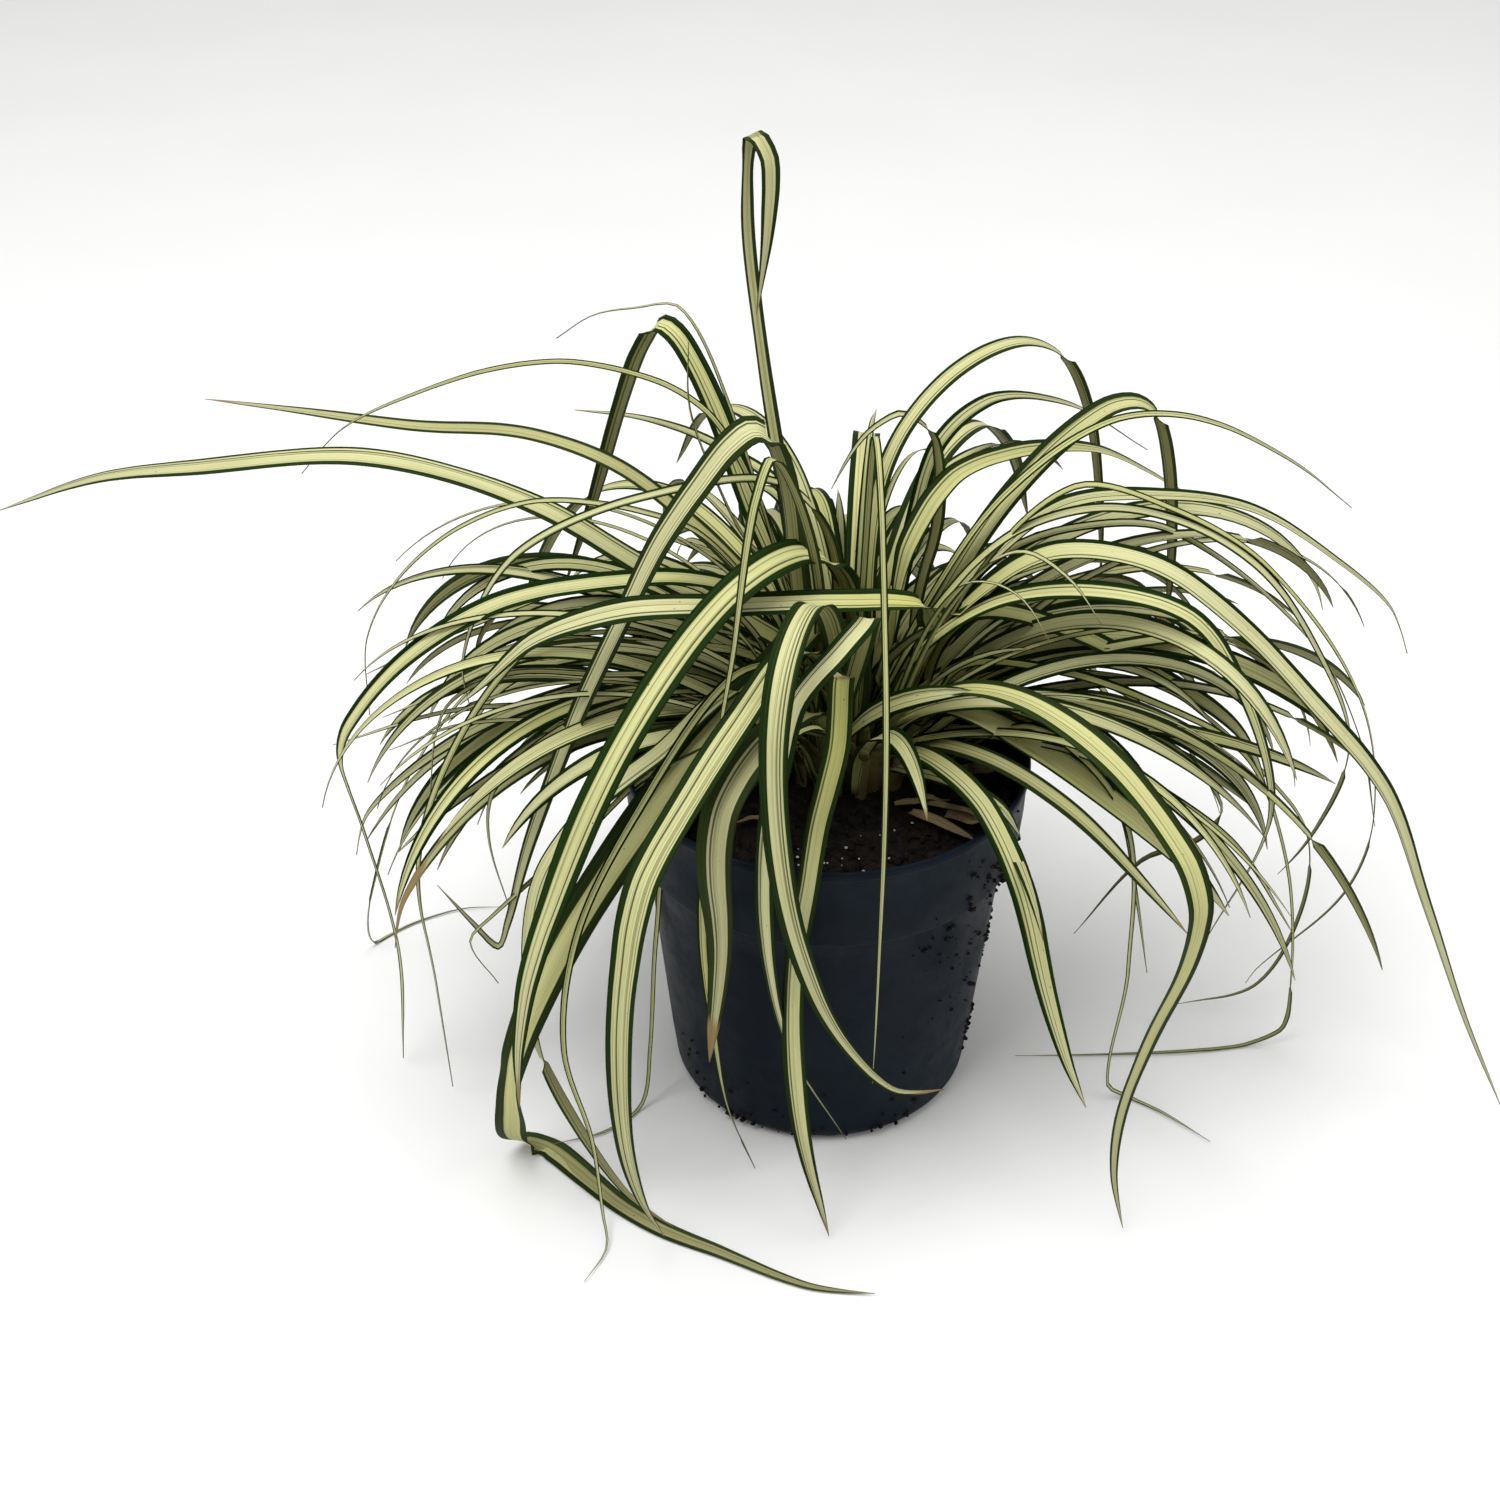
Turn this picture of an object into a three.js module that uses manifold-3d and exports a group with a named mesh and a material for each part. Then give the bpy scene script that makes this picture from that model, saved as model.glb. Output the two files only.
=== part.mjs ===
// Potted variegated sedge (carex) in a round nursery pot.
// Millimetres, +Z up. The origin is the centre of the pot's underside, on the surface it stands on.
// +X is the plant's right seen from the front, and -Y points at the viewer.
import * as THREE from 'three';
import { mergeVertices } from 'three/addons/utils/BufferGeometryUtils.js';
import Module from 'manifold-3d';

const wasm = await Module();
wasm.setup();

// ---- driving dimensions -------------------------------------------------------------------
const GAP = 0.3;                 // clearance between neighbouring pieces

const POT_HEIGHT = 125;
const RIM_RADIUS = 65;
const COLLAR_HEIGHT = 30;        // the wider band below the rim
const COLLAR_FOOT_RADIUS = 62.9;
const WALL_TOP_RADIUS = 58.9;    // the tapered wall just under the collar
const BASE_RADIUS = 49.8;
const BASE_CORNER = 5;           // bevel between the underside and the wall
const WALL = 1.3;
const FLOOR_THICKNESS = 1.6;
const DRAIN_HOLE_COUNT = 8;
const DRAIN_HOLE_RADIUS = 4;
const DRAIN_HOLE_CIRCLE = 34;
const POT_SEGMENTS = 48;

const SOIL_TOP = 113;

const CROWN_CENTRE = new THREE.Vector2(8, 14);
const CROWN_RADIUS = 27;
const CROWN_HEIGHT = 13;
const CROWN_SHEATHS = 16;        // bundles of leaf bases that rib the crown's flank

const BLADE_THICKNESS = 0.8;
const BLADE_CHANNEL = 0.16;      // how far the edges stand above the midrib, as a share of half the width
const BLADE_STEP = 13;           // longest step between sections along a blade
const BLADE_FOOT = 0.4;          // width at the root, as a share of the full width
const BLADE_OPENING = 0.4;       // share of the length over which a blade reaches its full width
const ROOT_STRETCH = 75;         // length of blade over which a moved root is made good

// Ways a crowded leaf can give way, see the note on placing the leaves.
const ROOT_SHIFTS = [-16, -12, -8, -4, 0, 4, 8, 12, 16];   // mm, along X and along Y
const TURNS = [-6, -4, -3, -2, -1, 0, 1, 2, 3, 4, 6];      // degrees about the crown's axis
const RISES = [-6, -4, -2, 0, 2, 4, 6];                    // mm, at the middle of the blade
const EFFORT_PER_SHIFT = 0.06;                             // effort of 1 mm, where 1 degree counts as 1
const EFFORT_PER_RISE = 0.4;

// ---- materials ----------------------------------------------------------------------------
const looks = {
  pot: { color: 0x22282f, roughness: 0.5 },
  soil: { color: 0x1d1611, roughness: 0.95 },
  crown: { color: 0xb9b277, roughness: 0.6 },
  leaf: { color: 0xc3bf8c, roughness: 0.6 },
};

// ---- solids -------------------------------------------------------------------------------
function toManifold(geometry) {
  const bare = geometry.clone();
  bare.deleteAttribute('normal');
  bare.deleteAttribute('uv');
  const merged = mergeVertices(bare, 1e-4);
  const solid = new wasm.Mesh({
    numProp: 3,
    vertProperties: new Float32Array(merged.attributes.position.array),
    triVerts: new Uint32Array(merged.index.array),
  });
  return new wasm.Manifold(solid);
}

function toGeometry(manifold) {
  const { vertProperties, triVerts } = manifold.getMesh();
  const geometry = new THREE.BufferGeometry();
  geometry.setAttribute('position', new THREE.BufferAttribute(new Float32Array(vertProperties), 3));
  geometry.setIndex(new THREE.BufferAttribute(new Uint32Array(triVerts), 1));
  return geometry;
}

function latheAboutZ(profile, segments) {
  const points = profile.map(([radius, height]) => new THREE.Vector2(radius, height));
  return new THREE.LatheGeometry(points, segments).rotateX(Math.PI / 2);
}

// ---- pot ----------------------------------------------------------------------------------
const COLLAR_FOOT = POT_HEIGHT - COLLAR_HEIGHT;

function innerWallRadius(height) {
  const share = height / COLLAR_FOOT;
  return BASE_RADIUS + (WALL_TOP_RADIUS - BASE_RADIUS) * share - WALL;
}

function potGeometry() {
  const outside = [
    [0, 0],
    [BASE_RADIUS - BASE_CORNER, 0],
    [BASE_RADIUS - BASE_CORNER * 0.3, BASE_CORNER * 0.35],
    [BASE_RADIUS + 0.3, BASE_CORNER],
    [WALL_TOP_RADIUS, COLLAR_FOOT - 1],
    [COLLAR_FOOT_RADIUS - 0.6, COLLAR_FOOT],
    [COLLAR_FOOT_RADIUS, COLLAR_FOOT + 0.8],
    [RIM_RADIUS - 0.5, POT_HEIGHT - 3],
    [RIM_RADIUS, POT_HEIGHT - 2.4],
    [RIM_RADIUS, POT_HEIGHT - 0.4],
    [RIM_RADIUS - 0.4, POT_HEIGHT],
  ];
  const inside = [
    [RIM_RADIUS - WALL - 0.5, POT_HEIGHT],
    [COLLAR_FOOT_RADIUS - WALL, COLLAR_FOOT + 1.6],
    [innerWallRadius(COLLAR_FOOT - 1), COLLAR_FOOT - 1],
    [innerWallRadius(BASE_CORNER), BASE_CORNER],
    [BASE_RADIUS - BASE_CORNER, FLOOR_THICKNESS],
    [0, FLOOR_THICKNESS],
  ];
  let pot = toManifold(latheAboutZ([...outside, ...inside], POT_SEGMENTS));
  for (let i = 0; i < DRAIN_HOLE_COUNT; i += 1) {
    const angle = (2 * Math.PI * (i + 0.5)) / DRAIN_HOLE_COUNT;
    const hole = new THREE.CylinderGeometry(DRAIN_HOLE_RADIUS, DRAIN_HOLE_RADIUS, 3 * FLOOR_THICKNESS, 12);
    hole.rotateX(Math.PI / 2);
    hole.translate(DRAIN_HOLE_CIRCLE * Math.cos(angle), DRAIN_HOLE_CIRCLE * Math.sin(angle), 0);
    pot = pot.subtract(toManifold(hole));
  }
  return toGeometry(pot);
}

// ---- soil and root ball -------------------------------------------------------------------
function soilGeometry() {
  const top = SOIL_TOP;
  const profile = [
    [0, FLOOR_THICKNESS + GAP],
    [BASE_RADIUS - BASE_CORNER - 1, FLOOR_THICKNESS + GAP],
    [innerWallRadius(BASE_CORNER) - GAP, BASE_CORNER + 1],
    [innerWallRadius(COLLAR_FOOT - 1) - GAP, COLLAR_FOOT - 1],
    [COLLAR_FOOT_RADIUS - WALL - 1, COLLAR_FOOT + 3],
    [COLLAR_FOOT_RADIUS - WALL - GAP, top - 3],
    [COLLAR_FOOT_RADIUS - WALL - 3, top - 1.5],
    [COLLAR_FOOT_RADIUS * 0.7, top],
    [0, top],
  ];
  return latheAboutZ(profile, 36);
}

// ---- crown: the tight clump of leaf bases that stands on the soil --------------------------
function crownHeightAt(radius) {
  const share = Math.min(radius / CROWN_RADIUS, 1);
  return SOIL_TOP + GAP + 2 + (CROWN_HEIGHT - 2) * (1 - share * share);
}

function crownGeometry() {
  const profile = [[0, SOIL_TOP + GAP], [CROWN_RADIUS - 1, SOIL_TOP + GAP]];
  for (let i = 8; i >= 0; i -= 1) {
    const radius = (CROWN_RADIUS * i) / 8;
    profile.push([radius, crownHeightAt(radius)]);
  }
  const crown = latheAboutZ(profile, 2 * CROWN_SHEATHS);
  const { position } = crown.attributes;
  for (let i = 0; i < position.count; i += 1) {
    const x = position.getX(i);
    const y = position.getY(i);
    const rib = 1 + 0.05 * Math.cos(CROWN_SHEATHS * Math.atan2(y, x));
    position.setXY(i, x * rib, y * rib);
  }
  return crown.translate(CROWN_CENTRE.x, CROWN_CENTRE.y, 0);
}

// ---- leaves -------------------------------------------------------------------------------
// A leaf grows in an upright plane through the crown's axis, at an azimuth counted from +X
// towards +Y. Its route is a list of [out, up] or [out, up, side] points: out is the distance
// from the crown's axis, up the height over the surface, side the distance off the plane,
// positive anticlockwise. It starts on the crown at the distance root.
const UP = new THREE.Vector3(0, 0, 1);

function routePoints(leaf, yielding) {
  const angle = THREE.MathUtils.degToRad(leaf.azimuth + yielding.turn);
  const outward = new THREE.Vector3(Math.cos(angle), Math.sin(angle), 0);
  const sideways = new THREE.Vector3(-Math.sin(angle), Math.cos(angle), 0);
  const points = [[leaf.root, SOIL_TOP], ...leaf.route].map(([out, up, side = 0]) => new THREE.Vector3(
    CROWN_CENTRE.x + outward.x * out + sideways.x * side,
    CROWN_CENTRE.y + outward.y * out + sideways.y * side,
    up,
  ));
  const travelled = [0];
  for (let i = 1; i < points.length; i += 1) {
    travelled.push(travelled[i - 1] + points[i].distanceTo(points[i - 1]));
  }
  points.forEach((point, i) => {
    const fade = 1 - THREE.MathUtils.smoothstep(travelled[i], 0, ROOT_STRETCH);
    point.x += yielding.x * fade;
    point.y += yielding.y * fade;
    if (point.z > SOIL_TOP) point.z += yielding.rise * Math.sin((Math.PI * travelled[i]) / travelled.at(-1));
  });
  const rootDistance = Math.hypot(points[0].x - CROWN_CENTRE.x, points[0].y - CROWN_CENTRE.y);
  points[0].z = crownHeightAt(rootDistance) + 3 * GAP;
  return points;
}

function bladeHalfWidth(leaf, share) {
  const widening = BLADE_FOOT + (1 - BLADE_FOOT) * THREE.MathUtils.smoothstep(share, 0, BLADE_OPENING);
  const taper = (1 - share ** 3) ** 0.9;
  return 0.5 * leaf.width * widening * taper;
}

// Each section is a flat V: left edge, midrib top, right edge, midrib underside.
function leafGeometry(leaf, yielding, extra = 0) {
  const controls = routePoints(leaf, yielding);
  const curve = new THREE.CatmullRomCurve3(controls, false, 'centripetal');
  const stations = [];
  for (let i = 0; i < controls.length - 1; i += 1) {
    const pieces = Math.ceil(controls[i].distanceTo(controls[i + 1]) / BLADE_STEP);
    for (let k = 0; k < pieces; k += 1) stations.push((i + k / pieces) / (controls.length - 1));
  }
  stations.push(1);
  const centres = stations.map((at) => curve.getPoint(at));
  const travelled = [0];
  for (let i = 1; i < centres.length; i += 1) {
    travelled.push(travelled[i - 1] + centres[i].distanceTo(centres[i - 1]));
  }
  const length = travelled.at(-1);

  const angle = THREE.MathUtils.degToRad(leaf.azimuth + yielding.turn);
  let across = new THREE.Vector3(-Math.sin(angle), Math.cos(angle), 0);
  const vertices = [];
  for (let i = 0; i < centres.length - 1; i += 1) {
    const share = travelled[i] / length;
    const along = curve.getTangent(stations[i]);
    // The blade lies level across its run, and keeps its facing where it hangs or stands upright.
    const level = new THREE.Vector3().crossVectors(UP, along);
    const slope = level.length();
    if (level.dot(across) < 0) level.negate();
    across = across.clone().multiplyScalar(1 - slope).add(level);
    across.addScaledVector(along, -across.dot(along)).normalize();
    const face = new THREE.Vector3().crossVectors(along, across);
    const half = bladeHalfWidth(leaf, share) + extra;
    const lift = BLADE_CHANNEL * half;
    const thick = BLADE_THICKNESS / 2 + extra;
    const left = centres[i].clone().addScaledVector(across, half).addScaledVector(face, lift);
    const top = centres[i].clone().addScaledVector(face, thick);
    const right = centres[i].clone().addScaledVector(across, -half).addScaledVector(face, lift);
    const under = centres[i].clone().addScaledVector(face, -thick);
    for (const corner of [left, top, right, under]) {
      corner.z = Math.max(corner.z, GAP);
      vertices.push(corner.x, corner.y, corner.z);
    }
  }
  const tip = centres.at(-1);
  vertices.push(tip.x, tip.y, Math.max(tip.z, GAP));

  const faces = [0, 2, 1, 0, 3, 2];
  const rings = centres.length - 1;
  for (let i = 0; i < rings - 1; i += 1) {
    for (let k = 0; k < 4; k += 1) {
      const near = 4 * i + k;
      const nearNext = 4 * i + ((k + 1) % 4);
      faces.push(near, nearNext, near + 4, nearNext, nearNext + 4, near + 4);
    }
  }
  const last = 4 * (rings - 1);
  for (let k = 0; k < 4; k += 1) faces.push(last + k, last + ((k + 1) % 4), 4 * rings);

  const geometry = new THREE.BufferGeometry();
  geometry.setAttribute('position', new THREE.BufferAttribute(new Float32Array(vertices), 3));
  geometry.setIndex(faces);
  return geometry;
}

const leaves = [
  // tall and bent-over leaves
  { name: 'spire', azimuth: 170, width: 7, root: 4,
    route: [[16, 165], [24, 210], [31, 256], [35, 296], [33, 318], [28, 313, 3], [27, 298, 6],
      [30, 268, 8]] },
  { name: 'front_left_fold', azimuth: 205, width: 10.5, root: 10,
    route: [[16, 152], [20, 180], [24, 216], [30, 234], [35, 237], [42, 233], [51, 223], [64, 206],
      [78, 180],
      [90, 157], [100, 134], [111, 106], [119, 80], [123, 71], [130, 80, -5], [138, 92, -12]] },
  { name: 'front_left_arch', azimuth: 225, width: 9, root: 4,
    route: [[-1, 150], [7, 184], [24, 198], [45, 198], [64, 190], [88, 171], [108, 148], [125, 120],
      [136, 97], [142, 70], [143, 50]] },
  { name: 'front_left_wide', azimuth: 221, width: 10.5, root: 2,
    route: [[0, 148], [11, 171], [31, 161], [63, 145], [93, 121], [120, 93], [138, 62], [138, 36, -5],
      [129, 9, -17], [120, 1.2, -16], [118, 1.2, 0], [117, 1.2, 20], [113, 1.2, 39], [106, 1.2, 56],
      [93, 1.2, 87], [80, 1.2, 102]] },
  { name: 'front_left_trailing', azimuth: 222, width: 5.5, root: 16,
    route: [[30, 150], [50, 154], [75, 143], [97, 135], [116, 120], [123, 105], [126, 60, 2], [121, 30, 14],
      [114, 8, 34], [107, 1.5, 48]] },
  { name: 'front_left_outer', azimuth: 243, width: 8.5, root: 10,
    route: [[20, 158], [44, 176], [72, 170], [102, 160], [128, 147], [138, 125], [143, 95], [142, 60],
      [134, 28], [124, 4, 1]] },
  { name: 'front_dull', azimuth: 246, width: 10, root: 20,
    route: [[28, 145], [45, 154], [72, 158], [92, 152], [97, 138], [94, 100], [102, 62]] },
  { name: 'front_thread', azimuth: 240, width: 3.2, root: 23,
    route: [[35, 138], [62, 138], [84, 124], [88, 100], [87, 60, 3], [87, 30, 8], [82, 2, 15]] },
  { name: 'front_hook', azimuth: 257, width: 7.5, root: 4,
    route: [[22, 165], [42, 192], [65, 206], [88, 203], [99, 186], [101, 149, 2], [100, 113, 8],
      [96, 78, 20],
      [90, 55, 37], [78, 48, 50]] },
  { name: 'front_centre', azimuth: 262, width: 6.5, root: 10,
    route: [[25, 170, 6], [40, 190, 9], [52, 195, 9], [68, 193, 3], [81, 186, -5], [86, 172, -8],
      [90, 141, -12], [92, 104, -11], [91, 65, -4], [83, 22, 13]] },
  { name: 'front_crease', azimuth: 265, width: 6.5, root: 16,
    route: [[30, 158], [57, 179], [61, 179], [70, 164], [82, 145, -4], [89, 128, -6], [91, 101, -9],
      [95, 70, -9], [103, 39, -5], [107, 2, 4]] },
  { name: 'front_needle', azimuth: 276, width: 2, root: 8,
    route: [[18, 190], [35, 246], [50, 238], [68, 210], [82, 180], [88, 146], [88, 109], [87, 70],
      [85, 47]] },
  { name: 'crossing', azimuth: 195, width: 10, root: -12,
    route: [[-13, 140, 12], [-20, 172, 20], [-16, 180, 22], [8, 186, 24], [49, 190, 24], [74, 191, 22],
      [93, 187, 20], [105, 181, 18], [116, 170, 16], [126, 160, 14]] },

  // right side
  { name: 'right_back_arch', azimuth: 42, width: 5.5, root: 4,
    route: [[6, 155], [6, 185], [10, 212], [20, 227], [39, 238], [64, 240], [86, 229], [101, 205],
      [112, 163], [116, 135]] },
  { name: 'right_back_inner', azimuth: 32, width: 7, root: 5,
    route: [[8, 155, -8], [10, 176, -8], [14, 191, -7], [22, 201, -5], [34, 208, -2], [52, 209],
      [71, 207], [91, 201], [109, 190],
      [134, 172]] },
  { name: 'right_back_high', azimuth: 47, width: 5, root: 12,
    route: [[20, 162], [28, 196], [36, 213], [58, 220], [100, 205], [150, 170]] },
  { name: 'right_fold', azimuth: 18, width: 7.5, root: 12,
    route: [[18, 146], [29, 168], [46, 197], [65, 218], [81, 228], [89, 228], [95, 224], [101, 208],
      [105, 186],
      [107, 168], [108, 145]] },
  { name: 'right_high_thread', azimuth: 12, width: 3, root: 6,
    route: [[24, 170], [46, 205], [77, 227], [104, 226], [138, 208], [160, 190]] },
  { name: 'right_long_thin', azimuth: 7, width: 5, root: 12,
    route: [[27, 164], [39, 182], [63, 203], [92, 205], [122, 199], [151, 180], [173, 160], [181, 143]] },
  { name: 'right_hook', azimuth: -17, width: 7, root: 10,
    route: [[21, 156], [46, 181], [78, 190], [104, 186], [121, 164], [134, 130], [134, 112], [122, 70]] },
  { name: 'right_curl', azimuth: -3, width: 4, root: 6,
    route: [[23, 166], [46, 197], [72, 208], [99, 204], [123, 189], [143, 162], [157, 133], [158, 115],
      [150, 87], [143, 74]] },
  { name: 'right_long', azimuth: -10, width: 8, root: 12,
    route: [[24, 156], [36, 176], [59, 196], [89, 196], [115, 180], [142, 154], [168, 125], [187, 84],
      [208, 37], [226, 2]] },
  { name: 'right_broad', azimuth: 1, width: 8, root: 18,
    route: [[26, 156], [38, 168], [61, 164], [94, 147], [125, 124], [141, 91]] },
  { name: 'right_trailing', azimuth: -6, width: 5.5, root: 23,
    route: [[34, 150], [62, 152], [94, 143], [124, 127], [143, 87], [152, 35], [152, 7, 6], [142, 1.5, 4],
      [124, 1.5, -2], [86, 1.5, -10], [62, 1.5, -14]] },
  { name: 'front_right_twist', azimuth: -48, width: 8, root: 12,
    route: [[22, 140], [47, 162], [76, 172], [111, 168], [140, 150], [145, 140], [144, 120], [134, 82],
      [127, 44], [128, 19], [134, 2]] },
  { name: 'front_right_broad', azimuth: -25, width: 9, root: 19,
    route: [[32, 142], [58, 138], [86, 126], [117, 107], [130, 94]] },
  { name: 'front_right_brown', azimuth: -36, width: 6, root: 21,
    route: [[30, 130], [56, 134], [85, 127], [111, 112], [126, 102]] },
  { name: 'front_right_drop', azimuth: -55, width: 7.5, root: 19,
    route: [[32, 133], [52, 137], [70, 134], [89, 117], [104, 88], [117, 68], [127, 58]] },
  { name: 'front_right_short', azimuth: -46, width: 6, root: 24,
    route: [[40, 126], [56, 129], [68, 128], [75, 122]] },
  { name: 'right_low', azimuth: 10, width: 6, root: 23,
    route: [[36, 128], [58, 130], [85, 127], [118, 110], [132, 98]] },
  { name: 'right_low_thin', azimuth: -16, width: 3.5, root: 24,
    route: [[45, 131], [75, 133], [102, 121], [126, 106], [148, 76]] },
  { name: 'right_thread', azimuth: 4, width: 2.2, root: 24,
    route: [[50, 142], [96, 139], [115, 126], [137, 103], [155, 78], [158, 45], [146, 10], [119, 2]] },

  // left side
  { name: 'left_long', azimuth: 175, width: 8, root: 12,
    route: [[17, 148], [40, 164], [68, 179], [96, 196], [127, 207], [158, 211], [207, 204], [241, 198],
      [277, 184]] },
  { name: 'left_fold', azimuth: 150, width: 8.5, root: 5,
    route: [[15, 146], [26, 170], [38, 192], [53, 226], [66, 245], [72, 247], [79, 237], [87, 217],
      [100, 178],
      [114, 141]] },
  { name: 'left_back_long', azimuth: 156, width: 5.5, root: 12,
    route: [[20, 150], [37, 169], [59, 186], [84, 199], [117, 203], [161, 196], [211, 191], [249, 187]] },
  { name: 'left_back_high', azimuth: 160, width: 2.6, root: 6,
    route: [[25, 180], [51, 228], [88, 236], [118, 230], [153, 214], [182, 196], [200, 176]] },
  { name: 'left_back_inner', azimuth: 144, width: 4, root: 9,
    route: [[18, 170], [28, 199], [58, 207], [88, 206], [120, 199]] },
  { name: 'left_thin_arc', azimuth: 182, width: 2.2, root: 6,
    route: [[25, 165], [48, 195], [63, 202], [82, 206], [100, 206], [122, 197], [142, 179], [154, 157],
      [156, 128]] },
  { name: 'left_inner_arc', azimuth: 195, width: 4, root: 3,
    route: [[5, 160], [8, 192], [17, 209], [30, 216], [61, 213], [85, 206], [104, 195], [115, 180],
      [123, 156], [121, 137]] },
  { name: 'centre_loop', azimuth: 190, width: 4, root: -18,
    route: [[-22, 165, -10], [-28, 192, -14], [-25, 220, -16], [-16, 227, -16], [-4, 220, -16],
      [6, 204, -14]] },
  { name: 'left_drop', azimuth: 238, width: 3.5, root: 10,
    route: [[22, 190], [40, 236], [50, 246], [57, 236], [63, 216], [68, 192], [76, 165], [80, 145]] },
  { name: 'left_outer', azimuth: 192, width: 7, root: 16,
    route: [[28, 172], [50, 184], [73, 186], [110, 182], [142, 163], [161, 139], [163, 130], [159, 105],
      [152, 51], [155, 3]] },
  { name: 'left_slim', azimuth: 179, width: 3, root: 18,
    route: [[32, 160], [52, 176], [75, 176], [94, 172], [118, 161], [130, 155], [157, 140]] },
  { name: 'left_strand', azimuth: 199, width: 3.2, root: 19,
    route: [[40, 168], [74, 183], [98, 177], [118, 158], [138, 121], [144, 92], [142, 54], [140, 3]] },
  { name: 'left_low', azimuth: 171, width: 6, root: 22,
    route: [[32, 131], [52, 136], [86, 139], [120, 140]] },
  { name: 'left_low_droop', azimuth: 188, width: 5, root: 22,
    route: [[34, 140], [60, 147], [98, 141], [131, 125], [158, 100], [163, 84]] },
  { name: 'left_low_brown', azimuth: 200, width: 5, root: 24,
    route: [[45, 133], [83, 138], [110, 129], [133, 111], [150, 87], [154, 70]] },
  { name: 'left_low_thread', azimuth: 181, width: 2.2, root: 24,
    route: [[50, 131], [94, 131], [130, 128], [170, 114]] },
  { name: 'left_back_droop', azimuth: 138, width: 6, root: 16,
    route: [[40, 162], [80, 178], [115, 168], [138, 147], [157, 115], [167, 85]] },
  { name: 'left_withered', azimuth: 212, width: 6, root: 24,
    route: [[36, 132], [55, 139], [68, 137], [77, 124]] },

  // back
  { name: 'back_right', azimuth: 65, width: 7, root: 10,
    route: [[25, 165], [55, 190], [95, 190], [130, 165], [155, 125]] },
  { name: 'back_right_low', azimuth: 76, width: 6, root: 20,
    route: [[38, 142], [72, 145], [110, 122], [135, 85], [142, 50]] },
  { name: 'back', azimuth: 88, width: 8, root: 8,
    route: [[20, 160], [45, 184], [80, 187], [115, 168], [140, 130], [152, 90]] },
  { name: 'back_left', azimuth: 102, width: 7, root: 16,
    route: [[30, 155], [65, 168], [105, 155], [135, 120], [150, 75]] },
  { name: 'back_left_high', azimuth: 116, width: 6, root: 8,
    route: [[20, 165], [45, 192], [80, 198], [120, 182], [150, 148]] },
  { name: 'back_left_low', azimuth: 126, width: 6, root: 21,
    route: [[38, 140], [75, 145], [115, 125], [145, 90]] },
];

// ---- assembly -----------------------------------------------------------------------------
const plant = new THREE.Group();

function addPiece(name, geometry, look) {
  const mesh = new THREE.Mesh(geometry, new THREE.MeshStandardMaterial({ ...looks[look], metalness: 0 }));
  mesh.name = name;
  plant.add(mesh);
}

const potShape = potGeometry();
const soilShape = soilGeometry();
const crownShape = crownGeometry();
addPiece('pot', potShape, 'pot');
addPiece('soil', soilShape, 'soil');
addPiece('crown', crownShape, 'crown');

// Crowded leaves push each other aside. Each leaf in turn gives way as little as it can to stand
// clear of everything placed before it: its root moves over the crown, its blade rises or sinks,
// or it turns about the crown's axis.
const yieldings = [];
for (const x of ROOT_SHIFTS) {
  for (const y of ROOT_SHIFTS) {
    for (const turn of TURNS) {
      for (const rise of RISES) {
        const shifting = EFFORT_PER_SHIFT * Math.hypot(x, y);
        const effort = shifting + Math.abs(turn) + EFFORT_PER_RISE * Math.abs(rise);
        yieldings.push({ x, y, turn, rise, effort });
      }
    }
  }
}
yieldings.sort((a, b) => a.effort - b.effort);

const placed = [toManifold(potShape), toManifold(soilShape), toManifold(crownShape)]
  .map((solid) => ({ solid, box: solid.boundingBox() }));

function boxesMeet(a, b) {
  return [0, 1, 2].every((i) => a.min[i] <= b.max[i] && b.min[i] <= a.max[i]);
}

function isClear(solid) {
  const box = solid.boundingBox();
  return placed.every((other) => {
    if (!boxesMeet(box, other.box)) return true;
    const shared = solid.intersect(other.solid);
    const empty = shared.isEmpty();
    shared.delete();
    return empty;
  });
}

function rootOnCrown(leaf, yielding) {
  const angle = THREE.MathUtils.degToRad(leaf.azimuth + yielding.turn);
  const x = leaf.root * Math.cos(angle) + yielding.x;
  const y = leaf.root * Math.sin(angle) + yielding.y;
  return Math.hypot(x, y) < CROWN_RADIUS - 2;
}

for (const leaf of leaves) {
  const choice = yieldings.find((yielding) => {
    if (!rootOnCrown(leaf, yielding)) return false;
    const trial = toManifold(leafGeometry(leaf, yielding, GAP / 2));
    const clear = isClear(trial);
    trial.delete();
    return clear;
  });
  const shape = leafGeometry(leaf, choice ?? yieldings[0]);
  const solid = toManifold(shape);
  placed.push({ solid, box: solid.boundingBox() });
  addPiece(`leaf_${leaf.name}`, shape, 'leaf');
}

export default plant;
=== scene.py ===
"""Looks of the potted variegated sedge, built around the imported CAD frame."""
import math
import random
from itertools import combinations, permutations

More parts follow.
